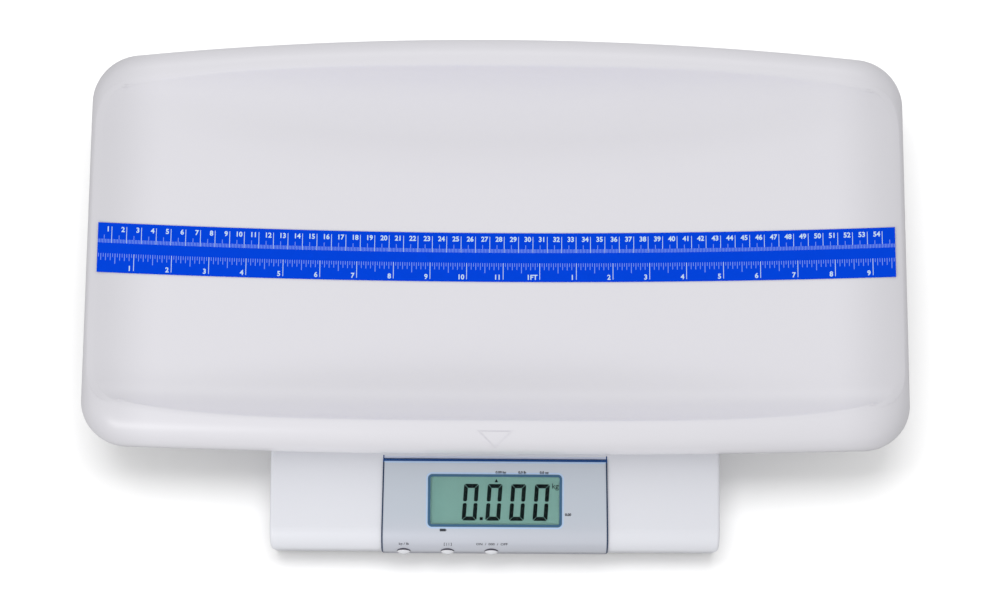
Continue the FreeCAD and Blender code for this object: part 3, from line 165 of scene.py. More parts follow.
class Paints(bpy.types.PropertyGroup):
    shell: colour("Tray white", (0.80, 0.79, 0.835), "Moulded tray")
    cover: colour("Base white", (0.83, 0.84, 0.895), "Moulded base cover")
    pan: colour("Pan white", (0.66, 0.66, 0.69), "Underside of the base")
    tape: colour("Tape blue", (0.0, 0.060, 0.75), "Film of the measuring tape")
    print: colour("Print white", (0.62, 0.80, 1.0), "Numbers and long ticks of the tape")
    fine_print: colour("Fine print", (0.21, 0.36, 1.0), "Short ticks of the tape")
    silver: colour("Panel silver", (0.60, 0.65, 0.73), "Front panel")
    trim: colour("Trim blue", (0.012, 0.066, 0.24), "Edge of the front panel")
    border: colour("Border blue", (0.018, 0.110, 0.225), "Border of the window")
    cell: colour("Cell green", (0.245, 0.485, 0.425), "Reflecting face of the display")
    digit: colour("Digit black", (0.006, 0.014, 0.014), "Dark bars of the display")
    # Painted highlight: the pale edges round the window and along the trim.
    glow: colour("Glow blue", (0.50, 0.66, 0.90), "Pale edge round the window")
    band: colour("Band lilac", (0.74, 0.80, 1.0), "Band above the panel")
    mark: colour("Mark ink", (0.03, 0.035, 0.05), "Small marks on the panel")


class Studio(bpy.types.PropertyGroup):
    lens: number("Lens", 75.53, "Focal length")
    sky: number("Sky", 0.82, "Strength of the room's light")
    front: number("Front", 2.0, "Power of the light in front, on the left")
    rear: number("Rear", 2.4, "Power of the light behind")
    ground: number("Ground", 12.5, "Power of the light that whitens the floor alone")


# ---------------------------------------------------------------- tools of the bench

def put_down():
    """Leave edit mode and select nothing."""
    if bpy.context.object and bpy.context.object.mode != "OBJECT":
        bpy.ops.object.mode_set(mode="OBJECT")
    bpy.ops.object.select_all(action="DESELECT")


def take(piece):
    """Select one piece alone and make it active."""
    put_down()
    piece.select_set(True)
    bpy.context.view_layer.objects.active = piece
    return piece


def named(name):
    """Name the active piece and its mesh."""
    piece = bpy.context.object
    piece.name = name
    piece.data.name = name
    return piece


def settle(piece):
    """Put the piece's place into its mesh."""
    take(piece)
    bpy.ops.object.transform_apply(location=True, rotation=True, scale=True)
    return piece


def block(name, low, high):
    """A box between two corners."""
    put_down()
    low, high = Vector(low), Vector(high)
    bpy.ops.mesh.primitive_cube_add(size=1, location=(low + high) / 2, scale=high - low)
    return settle(named(name))


def choose(kind, test):
    """In edit mode, select the faces, edges or vertices that pass a test."""
    mesh = bmesh.from_edit_mesh(bpy.context.object.data)
    bpy.ops.mesh.select_all(action="DESELECT")
    for item in getattr(mesh, kind):
        if test(item):
            item.select_set(True)
    mesh.select_flush_mode()
    bmesh.update_edit_mesh(bpy.context.object.data)


def open_mesh():
    """Enter edit mode with the whole mesh selected."""
    bpy.ops.object.mode_set(mode="EDIT")
    bpy.ops.mesh.select_all(action="SELECT")


def close_mesh(outward=False):
    """Leave edit mode, with all faces turned outwards if asked."""
    if outward:
        bpy.ops.mesh.select_all(action="SELECT")
        bpy.ops.mesh.normals_make_consistent(inside=False)
    bpy.ops.object.mode_set(mode="OBJECT")


def rectangle(left, low, right, high):
    """A rectangle's corners, in order."""
    return [(left, low), (right, low), (right, high), (left, high)]


def cut_plate(name, corners, low, high):
    """A flat plate with the given corners, extruded between two heights."""
    put_down()
    bpy.ops.mesh.primitive_circle_add(vertices=len(corners), radius=1, fill_type="NGON")
    plate = named(name)
    turn = sum(a[0] * b[1] - b[0] * a[1] for a, b in zip(corners, corners[1:] + corners[:1]))
    ordered = corners if turn > 0 else corners[::-1]
    clockwise = plate.data.polygons[0].normal.z < 0
    for vertex, (x, y) in zip(plate.data.vertices, ordered[::-1] if clockwise else ordered):
        vertex.co = (x, y, low)
    open_mesh()
    bpy.ops.mesh.extrude_region_move(TRANSFORM_OT_translate={"value": (0, 0, high - low)})
    close_mesh(outward=True)
    return plate


def placed(piece, matrix):
    """Carry a piece that was made flat at the origin to where it belongs."""
    piece.matrix_world = matrix
    return settle(piece)


def joined(name, pieces):
    """Join pieces into one mesh."""
    put_down()
    for piece in pieces:
        piece.select_set(True)
    bpy.context.view_layer.objects.active = pieces[0]
    if len(pieces) > 1:
        bpy.ops.object.join()
    return named(name)


def lettering(text, height, thickness, bold=0.0, align="CENTER"):
    """Solid characters of a given height, lying flat with their foot at the origin."""
    put_down()
    bpy.ops.object.text_add()
    words = bpy.context.object
    words.data.body = text
    words.data.align_x = align
    words.data.size = height / CAPITAL
    words.data.resolution_u = 3
    words.data.offset = bold
    words.data.extrude = thickness / 2
    bpy.ops.object.convert(target="MESH")
    return settle(bpy.context.object)


def smooth(piece, angle=30):
    """Shade a piece smooth, but for edges that turn by more than an angle in degrees."""
    take(piece)
    bpy.ops.object.shade_smooth_by_angle(angle=math.radians(angle))
    return piece


def apply_modifiers(piece):
    """Make a piece's modifiers part of its mesh."""
    take(piece)
    for modifier in list(piece.modifiers):
        bpy.ops.object.modifier_apply(modifier=modifier.name)
    return piece


def finished(piece, body, finish, slot, *nodes):
    """Paint a piece, let it ride on a body, and hide the solids it stands in for."""
    piece.data.materials.clear()
    piece.data.materials.append(finish.material)
    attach(piece, body)
    if nodes:
        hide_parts(*nodes)
    return piece


def paint_nodes(*rows):
    """Give carried-over solids their finishes: a row is a finish and the nodes it goes on."""
    for finish, nodes in rows:
        for node in nodes.split():
            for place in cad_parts[node].material_slots:
                place.material = finish.material


# ---------------------------------------------------------------- finishes

class Flow:
    """A shader socket that takes part in sums, so that a pattern reads as arithmetic."""

    def __init__(self, finish, socket):
        self.finish = finish
        self.socket = socket

    def math(self, operation, *values):
        return self.finish.math(operation, *values)

    def __add__(self, other):
        return self.math("ADD", self, other)

    __radd__ = __add__

    def __sub__(self, other):
        return self.math("SUBTRACT", self, other)

    def __rsub__(self, other):
        return self.math("SUBTRACT", other, self)

    def __mul__(self, other):
        return self.math("MULTIPLY", self, other)

    __rmul__ = __mul__

    def __truediv__(self, other):
        return self.math("DIVIDE", self, other)

    def over(self, other):
        return self.math("GREATER_THAN", self, other)

    def under(self, other):
        return self.math("LESS_THAN", self, other)

    def wrapped(self, period):
        """The remainder after whole periods."""
        return self.math("FLOORED_MODULO", self, period)

    def eased(self, start, end):
        """0 before start, 1 after end, and smooth between them."""
        return self.finish.node(
            "ShaderNodeMapRange", self, start, end, settings={"interpolation_type": "SMOOTHSTEP"}
        )


class Finish:
    """A procedural material on object coordinates."""

    def __init__(self, name, paint, roughness, **constants):
        self.material = bpy.data.materials.new(name)
        self.material.use_nodes = True
        self.tree = self.material.node_tree
        self.shader = self.tree.nodes["Principled BSDF"]
        self.paint = tuple(paint)
        self.material.diffuse_color = (*paint, 1)
        self.set(Base_Color=(*paint, 1), Roughness=roughness, **constants)
        self.place = self.node("ShaderNodeTexCoord", output="Object")

    def feed(self, socket, value):
        """Link a socket to a flow, or give it a value."""
        if isinstance(value, Flow):
            self.tree.links.new(value.socket, socket)
        else:
            socket.default_value = value

    def set(self, **sockets):
        """Feed the shader's own sockets, by their names."""
        for name, value in sockets.items():
            self.feed(self.shader.inputs[name.replace("_", " ")], value)
        return self

    def node(self, kind, *values, settings=None, output=0, **named_values):
        """Add a node: its settings first, then its sockets by their order and by their names."""
        made = self.tree.nodes.new(kind)
        for name, value in (settings or {}).items():
            setattr(made, name, value)
        for socket, value in zip(made.inputs, values):
            self.feed(socket, value)
        for name, value in named_values.items():
            self.feed(made.inputs[name.replace("_", " ")], value)
        return Flow(self, made.outputs[output])

    def math(self, operation, *values):
        return self.node("ShaderNodeMath", *values, settings={"operation": operation})

    def along(self, direction):
        """How far the place lies along a direction."""
        settings = {"operation": "DOT_PRODUCT"}
        return self.node(
            "ShaderNodeVectorMath", self.place, direction, settings=settings, output="Value"
        )

    def axis(self, letter):
        """One of the place's coordinates."""
        return self.node("ShaderNodeSeparateXYZ", self.place, output=letter)

    def stretched(self, x, y, z):
        """The place, with each axis scaled."""
        return self.node("ShaderNodeMapping", Vector=self.place, Scale=(x, y, z))

    def noise(self, scale, detail=2.0, place=None):
        return self.node(
            "ShaderNodeTexNoise", Vector=place or self.place, Scale=scale, Detail=detail
        )

    def blend(self, factor, low, high):
        """A colour between two, by a factor."""
        made = self.tree.nodes.new("ShaderNodeMix")
        made.data_type = "RGBA"
        self.feed(made.inputs["Factor"], factor)
        # A Mix node has sockets for every kind of value. Those of a colour are 6, 7 and 2.
        for place, value in ((6, low), (7, high)):
            self.feed(made.inputs[place], value if isinstance(value, Flow) else (*value, 1))
        return Flow(self, made.outputs[2])

    def tone(self, factor, change):
        """The paint, made lighter or darker by up to a change as the factor goes from 0 to 1."""
        low = tuple(value * (1 - change) for value in self.paint)
        high = tuple(min(1, value * (1 + change)) for value in self.paint)
        return self.blend(factor, low, high)

    def bumped(self, height, depth):
        """Let a height, from 0 to 1, stand out by a depth."""
        return self.set(
            Normal=self.node("ShaderNodeBump", Distance=depth, Height=height, output="Normal")
        )


def moulded(name, paint, roughness, grain=1400, depth=0.012 * MM, drift=0.012, **constants):
    """Moulded plastic: a fine grain, a slow drift of tone and a little unevenness in its gloss."""
    skin = Finish(name, paint, roughness, **constants)
    slow = skin.noise(7.0, 3.0)
    skin.drift = skin.tone(slow, drift)
    skin.set(Base_Color=skin.drift, Roughness=roughness + (slow - 0.5) * 0.08)
    return skin.bumped(skin.noise(grain), depth)


def printed(name, paint, roughness=0.4, **constants):
    """Ink or printed film: nearly even, with a faint mottle."""
    ink = Finish(name, paint, roughness, **constants)
    return ink.set(Base_Color=ink.tone(ink.noise(260), 0.05))


def brushed(name, paint, roughness, direction, **constants):
    """Metal with fine lines along one direction."""
    metal = Finish(name, paint, roughness, Metallic=1.0, **constants)
    fine, drawn = 900.0, 12.0
    stretch = [drawn if letter == direction else fine for letter in "xyz"]
    lines = metal.noise(1.0, 3.0, metal.stretched(*stretch))
    metal.set(Base_Color=metal.tone(lines, 0.08), Roughness=roughness + (lines - 0.5) * 0.2)
    return metal.bumped(lines, 0.02 * MM)


def soft(name, paint, roughness=0.8, **constants):
    """Rubber or insulation: dull, with a dusty mottle."""
    rubber = Finish(name, paint, roughness, **constants)
    dust = rubber.noise(90, 4.0)
    rubber.set(Base_Color=rubber.tone(dust, 0.12), Roughness=roughness + (dust - 0.5) * 0.15)
    return rubber.bumped(rubber.noise(1600), 0.03 * MM)


def make_silver(paints):
    """The front panel: silver film with a fine flake, painted lighter towards its foot as a
    highlight on the nose.
    """
    film = Finish("panel_silver", paints.silver, 0.36, Metallic=0.25, Coat_Weight=0.3)
    light, dull = (0.66, 0.68, 0.76), (0.48, 0.52, 0.57)
    # Painted highlight: the film turns lighter towards the nose at its foot.
    foot = film.axis("Y").eased(-148 * MM, -172 * MM)
    base = film.blend(foot, paints.silver, light)
    cloud, flake = film.noise(11), film.noise(2600, 1.0)
    film.set(Base_Color=film.blend(cloud * 0.35, base, dull), Roughness=0.33 + flake * 0.06)
    return film.bumped(flake, 0.006 * MM)


def make_trim(paints):
    """The panel's edge: blue above, slate at the sides, and a grey painted under the nose as its
    shade.
    """
    slate, painted_nose_shade = (0.020, 0.040, 0.095), (0.25, 0.24, 0.30)
    painted_highlight_start, side_start, inside, lean = -114.52 * MM, -115.2 * MM, 74.4 * MM, 0.0161
    trim = printed("trim_blue", paints.trim, 0.4, Specular_IOR_Level=0.2)
    y = trim.axis("Y")
    # The sides lean out towards the front, and their inner third is silver like the panel.
    within = (trim.math("ABSOLUTE", trim.axis("X")) + y * lean).under(inside)
    beside = y.under(side_start)
    # Painted highlight: a pale line along the lower edge of the top band.
    pale = y.under(painted_highlight_start) * y.over(side_start) * within
    line = trim.blend(beside, paints.trim, slate)
    line = trim.blend(pale, line, paints.glow)
    line = trim.blend(within * beside, line, paints.silver)
    # Painted shade: the trim turns grey where it runs under the nose.
    under = trim.axis("Z").eased(33 * MM, 25 * MM)
    return trim.set(Base_Color=trim.blend(under, line, painted_nose_shade))


def make_pearl(display):
    """A button's pearl crown over its stem, which is painted dark as the shadow in the gap round
    it.
    """
    crown, gap_shadow = (0.80, 0.81, 0.85), (0.05, 0.045, 0.075)
    pearl = moulded("button_pearl", crown, 0.28, depth=0.004 * MM, Coat_Weight=0.5)
    level, rise = math.cos(display.button_lean), math.sin(display.button_lean)
    out = pearl.along((0, -level, rise))
    start = display.nose_front * level + display.nose_height * rise + display.crown_reach
    cloud = pearl.tone(pearl.noise(40), 0.03)
    # Painted shadow: below the crown the button is dark.
    return pearl.set(Base_Color=pearl.blend(out.over(start), gap_shadow, cloud))


def make_cell(paints):
    """The display's green face, darker towards its left edge, with faint columns."""
    cell = Finish("display_cell", paints.cell, 0.32)
    shadow, between, pitch = (0.19, 0.41, 0.37), (0.2, 0.42, 0.37), 0.7 * MM
    across = cell.axis("X")
    edge = across.eased(-32 * MM, -46 * MM)
    columns = (across.wrapped(pitch) / pitch).over(0.86) * 0.25
    shade = cell.blend(edge * 0.5, paints.cell, shadow)
    return cell.set(Base_Color=cell.blend(columns, shade, between))


def make_board():
    """A coated circuit board with lighter tracks and dull pads."""
    green, copper, pitch = (0.02, 0.14, 0.055), (0.05, 0.26, 0.11), 2.4 * MM
    board = Finish("board_green", green, 0.35, Coat_Weight=0.4)
    warp = board.noise(60, 1.0) * (4 * MM)
    track = ((board.axis("X") + warp).wrapped(pitch) / pitch).under(0.3)
    lane = board.noise(45, 0.0, board.stretched(1, 3, 1)).over(0.52)
    lines = track * lane
    board.set(Base_Color=board.blend(lines, green, copper))
    return board.bumped(lines, 0.04 * MM)


def make_sleeve():
    """A battery's printed sleeve: dark, with one warm band."""
    dark, copper = (0.03, 0.034, 0.04), (0.62, 0.34, 0.12)
    sleeve = Finish("battery_sleeve", dark, 0.3, Metallic=0.4, Coat_Weight=0.5)
    along = sleeve.axis("Y")
    band = along.over(118 * MM) * along.under(134 * MM)
    gloss = 0.26 + sleeve.noise(300) * 0.1
    return sleeve.set(Base_Color=sleeve.blend(band, dark, copper), Roughness=gloss)


# ---------------------------------------------------------------- the tray

def bow_radius(half, bow):
    """The radius of an arc by half its chord and its rise."""
    return (half ** 2 + bow ** 2) / (2 * bow)


def arc(centre, radius, start, end, steps):
    """Points on an arc with their outward normals, without the last one."""
    stations = []
    for step in range(steps):
        turn = start + (end - start) * step / steps
        normal = Vector((math.cos(turn), math.sin(turn)))
        stations.append((centre + normal * radius, normal))
    return stations


class TrayLines:
    """The tray's two surfaces: the rim's roll outside and the trough inside."""

    def __init__(self, shape):
        self.shape = shape
        self.axis_height = shape.floor + shape.sweep
        self.front_radius = bow_radius(shape.half_length, shape.front_bow)
        self.back_radius = bow_radius(shape.half_length, shape.back_bow)
        self.back_turn = math.pi / 2 - shape.back_lean
        # The back round touches the floor and the leaning wall.
        foot = shape.back_wall - (shape.crest - shape.floor) * math.tan(shape.back_lean)
        self.back_foot = foot - shape.back_round * math.tan(self.back_turn / 2)
        self.front_foot = shape.front_round - shape.front_wall
        self.flat = self.back_foot - self.front_foot
        # The end of the back round: its length along the profile, its depth and its radius.
        self.bend = self.flat + self.back_turn * shape.back_round
        self.bend_y = self.back_foot + shape.back_round * math.sin(self.back_turn)
        self.bend_radius = shape.sweep - shape.back_round * (1 - math.cos(self.back_turn))

    def profile(self, s):
        """Depth and distance from the swing's axis at an arc length along the trough's profile.

        The length is 0 where the front round meets the floor, and grows towards the back.
        """
        shape = self.shape
        if s < 0:
            turn = -s / shape.front_round
            y = self.front_foot - shape.front_round * math.sin(turn)
            return y, shape.sweep - shape.front_round * (1 - math.cos(turn))
        if s <= self.flat:
            return self.front_foot + s, shape.sweep
        if s <= self.bend:
            turn = (s - self.flat) / shape.back_round
            y = self.back_foot + shape.back_round * math.sin(turn)
            return y, shape.sweep - shape.back_round * (1 - math.cos(turn))
        y = self.bend_y + (s - self.bend) * math.cos(self.back_turn)
        return y, self.bend_radius - (s - self.bend) * math.sin(self.back_turn)

    def along(self, y):
        """The arc length along the profile at a depth, or None in front of the front wall."""
        shape = self.shape
        if y < self.front_foot:
            rise = (self.front_foot - y) / shape.front_round
            return -math.asin(rise) * shape.front_round if rise < 1 else None
        if y <= self.back_foot:
            return y - self.front_foot
        if y <= self.bend_y:
            rise = (y - self.back_foot) / shape.back_round
            return self.flat + math.asin(rise) * shape.back_round
        return self.bend + (y - self.bend_y) / math.cos(self.back_turn)

    def swung(self, angle, s):
        """The point of the trough at a swing angle and an arc length."""
        y, radius = self.profile(s)
        return Vector((radius * math.sin(angle), y, self.axis_height - radius * math.cos(angle)))

    def trough_height(self, x, y):
        """The trough's height at a place, or far above the tray where there is no trough."""
        s = self.along(y)
        if s is None:
            return 1.0
        radius = self.profile(s)[1]
        return self.axis_height - math.sqrt(max(radius * radius - x * x, 0))

    def lip_height(self, place):
        """The rim's height at a place on the front lip."""
        radius = self.front_radius
        return self.rim_height(radius - math.hypot(place.x, place.y - radius + self.shape.front))

    def rim_height(self, inset):
        """The rim's height at a distance inside the outline."""
        shape = self.shape
        if inset >= shape.roll:
            return shape.crest
        return shape.crest - shape.roll + math.sqrt(shape.roll ** 2 - (shape.roll - inset) ** 2)

    def outline(self):
        """The stations of the plan's four sides, anticlockwise from the front left corner."""
        shape = self.shape
        half, steps = shape.half_length, shape.corner_steps
        fore, aft = shape.front_corner, shape.back_corner
        front_radius, back_radius = self.front_radius, self.back_radius
        front_centre = Vector((0, front_radius - shape.front))
        back_centre = Vector((0, shape.back - back_radius))
        front_x, back_x = half - fore, half - aft
        front_y = front_centre.y - math.sqrt((front_radius - fore) ** 2 - front_x ** 2)
        back_y = back_centre.y + math.sqrt((back_radius - aft) ** 2 - back_x ** 2)
        front_fan = math.asin(front_x / (front_radius - fore))
        back_fan = math.asin(back_x / (back_radius - aft))
        # Turns from the right: the back, the left, the front and the right again.
        back, left, front, whole = math.pi / 2, math.pi, 3 * math.pi / 2, 2 * math.pi
        front_middle = (front - front_fan + left) / 2
        back_middle = (back - back_fan) / 2

        def straight(start, end, normal):
            span = shape.short_steps
            return [(start.lerp(end, step / span), normal) for step in range(span)]

        front_left, front_right = Vector((-front_x, front_y)), Vector((front_x, front_y))
        back_right, back_left = Vector((back_x, back_y)), Vector((-back_x, back_y))
        east, west, long = Vector((1, 0)), Vector((-1, 0)), shape.long_steps
        front_start, front_end = front - front_fan, front + front_fan
        back_start, back_end = back - back_fan, back + back_fan
        # Each corner's centre and radius, and its turns at its start, middle and end.
        corners = (
            (front_left, fore, left, front_middle, front_start),
            (front_right, fore, front_end, 3 * math.pi - front_middle, whole),
            (back_right, aft, 0, back_middle, back_start),
            (back_left, aft, back_end, left - back_middle, left),
        )
        runs = (
            arc(front_centre, front_radius, front_start, front_end, long),
            straight(front_right + east * fore, back_right + east * aft, east),
            arc(back_centre, back_radius, back_start, back_end, long),
            straight(back_left + west * aft, front_left + west * fore, west),
        )
        halves = [
            (arc(centre, radius, start, middle, steps), arc(centre, radius, middle, end, steps))
            for centre, radius, start, middle, end in corners
        ]
        # A side runs from the middle of one corner to the middle of the next.
        return [halves[k][1] + run + halves[(k + 1) % 4][0] for k, run in enumerate(runs)]

    def crease_inset(self, point, normal):
        """How far inside the outline the trough cuts through the rim."""
        # The search stops just short of the front corner's centre, where the normals meet.
        low, high = 0.0, self.shape.front_corner * 0.97
        for _ in range(HALVINGS):
            middle = (low + high) / 2
            place = point - normal * middle
            if self.trough_height(place.x, place.y) > self.rim_height(middle):
                low = middle
            else:
                high = middle
        return high

    def rim_point(self, point, normal, inset, part):
        """A point of the rim, from beside the crease at part 0 to the start of the skirt at 1."""
        shape = self.shape
        level = max(inset - shape.roll, 0)
        top_turn = math.acos(min(max((shape.roll - inset) / shape.roll, 0), 1))
        # The first ring leaves room for the crease's rounding and a little more.
        whole, first = level + shape.roll * top_turn, shape.crease * 1.3
        run = first + (whole - first) * part
        if run < level:
            inward, height = inset - run, shape.crest
        else:
            turn = top_turn - (run - level) / shape.roll
            inward = shape.roll * (1 - math.cos(turn))
            height = shape.crest - shape.roll + shape.roll * math.sin(turn)
        place = point - normal * inward
        return Vector((place.x, place.y, height))


def trough_grid(lines, sides):
    """Swing angles and arc lengths over the trough, spread evenly away from the crease."""
    def on_trough(point, normal):
        place = point - normal * lines.crease_inset(point, normal)
        s = lines.along(place.y)
        radius = lines.profile(s)[1]
        return Vector((math.asin(place.x / radius), s))

    loops = [[on_trough(*station) for station in side] for side in sides]
    front = loops[0] + [loops[1][0]]
    right = loops[1] + [loops[2][0]]
    back = (loops[2] + [loops[3][0]])[::-1]
    left = (loops[3] + [loops[0][0]])[::-1]
    columns, rows, fade = len(front) - 1, len(left) - 1, 4

    def even(u, v):
        return front[0].lerp(front[-1], u).lerp(back[0].lerp(back[-1], u), v)

    for j in range(rows + 1):
        v = j / rows
        for i in range(columns + 1):
            u = i / columns
            place = even(u, v)
            place += (front[i] - even(u, 0)) * (1 - v) ** fade
            place += (back[i] - even(u, 1)) * v ** fade
            place += (left[j] - even(0, v)) * (1 - u) ** fade
            place += (right[j] - even(1, v)) * u ** fade
            yield place


def pull_out(piece, border, rings):
    """Extrude a selected border once for each ring, and lay its vertices on the ring's points."""
    mesh = bmesh.from_edit_mesh(piece.data)
    station_of = mesh.verts.layers.int.new("station")
    mesh.verts.ensure_lookup_table()
    for station, index in enumerate(border):
        mesh.verts[index][station_of] = station
    bmesh.update_edit_mesh(piece.data)
    for ring in rings:
        bpy.ops.mesh.extrude_edges_move()
        mesh = bmesh.from_edit_mesh(piece.data)
        station_of = mesh.verts.layers.int["station"]
        for vertex in mesh.verts:
            if vertex.select:
                vertex.co = ring[vertex[station_of]]
        bmesh.update_edit_mesh(piece.data)


def closed_rail(name, rings):
    """A loop of even section: a circle laid on the first ring, pulled over the rest and closed."""
    stations = len(rings[0])
    put_down()
    bpy.ops.mesh.primitive_circle_add(vertices=stations, radius=1)
    rail = named(name)
    for vertex, place in zip(rail.data.vertices, rings[0]):
        vertex.co = place
    open_mesh()
    pull_out(rail, range(stations), [*rings[1:], rings[0]])
    bpy.ops.mesh.select_all(action="SELECT")
    bpy.ops.mesh.remove_doubles(threshold=1e-6)
    close_mesh(outward=True)
    return rail


def mark_cutter(lines, steps=10):
    """The pointer's line as a closed rail that lies in the front lip."""
    shape = lines.shape
    half, deep = shape.mark_width / 2, shape.mark_length
    flank = math.hypot(half, deep)

    def rail(inset, rise):
        shrink = inset * (half + flank) / deep
        back = deep - shape.mark_front - inset
        apex = Vector((0, inset * flank / half - shape.mark_front))
        corners = [apex, Vector((half - shrink, back)), Vector((shrink - half, back)), apex]
        points = []
        for start, end in zip(corners, corners[1:]):
            for step in range(steps):
                place = start.lerp(end, step / steps)
                points.append(Vector((*place, lines.lip_height(place) + rise)))
        return points

    over, depth, line = 1 * MM, -shape.mark_depth, shape.mark_line
    rings = [rail(0, over), rail(line, over), rail(line, depth), rail(0, depth)]
    return closed_rail("mark_cutter", rings)


def round_edges(radius, segments):
    """In edit mode, round the selected edges."""
    bpy.ops.mesh.bevel(offset=radius, segments=segments, affect="EDGES", clamp_overlap=False)


def carve(piece, cutter):
    """Cut one piece's form out of another, and throw the cutter away."""
    cut = piece.modifiers.new("cut", "BOOLEAN")
    cut.operation = "DIFFERENCE"
    cut.solver = "EXACT"
    cut.object = cutter
    apply_modifiers(piece)
    take(cutter)
    bpy.ops.object.delete()
    return piece


def make_tray_mesh(shape):
    """A grid laid in the trough, its border pulled out over the rim and down the skirt."""
    lines = TrayLines(shape)
    sides = lines.outline()
    columns, rows = len(sides[0]), len(sides[1])
    put_down()
    bpy.ops.mesh.primitive_grid_add(x_subdivisions=columns, y_subdivisions=rows, size=1)
    tray = named("tray_shell")
    for vertex, place in zip(tray.data.vertices, trough_grid(lines, sides)):
        vertex.co = lines.swung(*place)
    # The border's vertices, in the order of the outline's stations.
    wide = columns + 1
    border = (
        list(range(columns))
        + [j * wide + columns for j in range(rows)]
        + [rows * wide + i for i in range(columns, 0, -1)]
        + [j * wide for j in range(rows, 0, -1)]
    )
    stations = [(*station, lines.crease_inset(*station)) for side in sides for station in side]
    open_mesh()
    choose("edges", lambda edge: edge.is_boundary)
    parts = [step / (shape.rim_steps - 1) for step in range(shape.rim_steps)]
    rings = [[lines.rim_point(*station, part) for station in stations] for part in parts]
    # Below the roll the skirt drops in three steps.
    low, skirt = shape.crest - shape.roll, shape.skirt
    for height in (low - 0.4 * (low - skirt), low - 0.8 * (low - skirt), skirt):
        rings.append([Vector((point.x, point.y, height)) for point, _, _ in stations])
    pull_out(tray, border, rings)
    close_mesh()
    if tray.data.polygons[0].normal.z < 0:
        open_mesh()
        bpy.ops.mesh.flip_normals()
        close_mesh()
    crease = set(border)
    wall = tray.modifiers.new("wall", "SOLIDIFY")
    wall.thickness = shape.wall
    wall.offset = -1
    wall.use_even_offset = True
    apply_modifiers(tray)
    open_mesh()
    # The crease melts into the rim at the two ends, and more so towards the very end.
    narrowing, first, more = 0.75, 0.05, 0.35
    for step in range(shape.melt):
        part = step / shape.melt
        reach = shape.half_length - shape.melt_reach * (1 - narrowing * part)
        choose("verts", lambda v: abs(v.co.x) > reach and v.co.z > shape.melt_height)
        bpy.ops.mesh.vertices_smooth(factor=first + more * part)
    choose("edges", lambda edge: all(v.index in crease for v in edge.verts))
    round_edges(shape.crease, 4)
    # The skirt's lower edges are those at its foot whose faces meet at more than a radian.
    choose(
        "edges",
        lambda edge: all(abs(v.co.z - skirt) < 0.01 * MM for v in edge.verts)
        and edge.calc_face_angle(0) > 1,
    )
    round_edges(shape.edge, 3)
    close_mesh()
    carve(tray, mark_cutter(lines))
    return smooth(tray, 40)


def make_sockets(shape):
    """Four cups under the tray, which stand on the caps of the posts."""
    tall = shape.socket_top - shape.socket_low
    put_down()
    bpy.ops.mesh.primitive_cylinder_add(
        vertices=64,
        radius=shape.socket_radius + shape.socket_wall,
        depth=tall,
        location=(-shape.socket_side, -shape.socket_front, shape.socket_low + tall / 2),
    )
    cup = settle(named("tray_sockets"))
    open_mesh()
    choose("faces", lambda face: face.normal.z < -0.9)
    bpy.ops.mesh.inset(thickness=shape.socket_wall)
    bore = (0, 0, shape.floor - shape.socket_low)
    bpy.ops.mesh.extrude_region_move(TRANSFORM_OT_translate={"value": bore})
    close_mesh()
    cups = [cup]
    wide, deep = 2 * shape.socket_side, shape.socket_front + shape.socket_back
    for shift in ((wide, 0, 0), (0, deep, 0), (wide, deep, 0)):
        take(cup)
        bpy.ops.object.duplicate(linked=False)
        bpy.ops.transform.translate(value=shift)
        cups.append(settle(bpy.context.object))
    return smooth(joined("tray_sockets", cups))


class SCALE_OT_tray(bpy.types.Operator):
    """Build the tray and the sockets under it"""

    bl_idname = "scale.tray"
    bl_label = "Tray"

    def execute(self, context):
        shape, paint = context.scene.scale_tray, context.scene.scale_paints.shell
        tray = make_tray_mesh(shape)
        white = moulded("tray_white", paint, 0.34, Coat_Weight=0.3, Coat_Roughness=0.32)
        # Painted shade: the tray's colour turns a little greyer towards its ends.
        ends = white.math("ABSOLUTE", white.axis("X")).eased(228 * MM, 274 * MM)
        painted_end_shade = tuple(value * 0.85 for value in paint)
        white.set(Base_Color=white.blend(ends, white.drift, painted_end_shade))
        finished(tray, "tray", white, "white_shell", "tray")
        finished(make_sockets(shape), "tray", white, "white_shell")
        return {"FINISHED"}


# ---------------------------------------------------------------- the measuring tape

def round_axis(tray, s):
    """Carry something from above the tray's lowest line to an arc length along the tape."""
    axis = tray.floor + tray.sweep
    turn = Matrix.Rotation(-s / tray.sweep, 4, "Y")
    return Matrix.Translation((0, 0, axis)) @ turn @ Matrix.Translation((0, 0, -axis))


def swing(piece, tray, start, run, steps, copy=False):
    """Sweep a piece along the tape from a start, or copy it at even steps."""
    placed(piece, round_axis(tray, start))
    open_mesh()
    bpy.ops.mesh.spin(
        steps=steps,
        dupli=copy,
        angle=run / tray.sweep,
        center=(0, 0, tray.floor + tray.sweep),
        axis=(0, 1, 0),
    )
    close_mesh(outward=not copy)
    return piece


def tape_edges(tape, tray):
    """The tape's back edge and the height of its upper face."""
    return tape.middle + tape.width / 2, tray.floor + tape.lift + tape.thickness


def ticks(name, tape, tray, start, pitch, near, far, width, ink):
    """Ticks at every pitch, each between two shares of the tape's width from its back edge."""
    back, top = tape_edges(tape, tray)
    low, high = back - far * tape.width, back - near * tape.width
    half = width * tape.line / 2
    tick = block(name, (-half, low, top - tape.ink / 2), (half, high, top + tape.ink * ink))
    steps = int((tape.length / 2 + tape.zero - start) / pitch)
    return swing(tick, tray, start - tape.zero, pitch * steps, steps, copy=True)


def numbers(tape, tray, words, pitch, before, foot):
    """Words that end before their marks, with their feet at a share of the tape's width."""
    back, top = tape_edges(tape, tray)
    lift = Matrix.Translation((0, back - foot * tape.width, top + tape.ink / 2))
    made = []
    for mark, text in enumerate(words, 1):
        number = lettering(text, tape.number_height, tape.ink, bold=0.13 * MM, align="RIGHT")
        turn = round_axis(tray, mark * pitch - tape.zero - before)
        made.append(placed(number, turn @ lift))
    return made


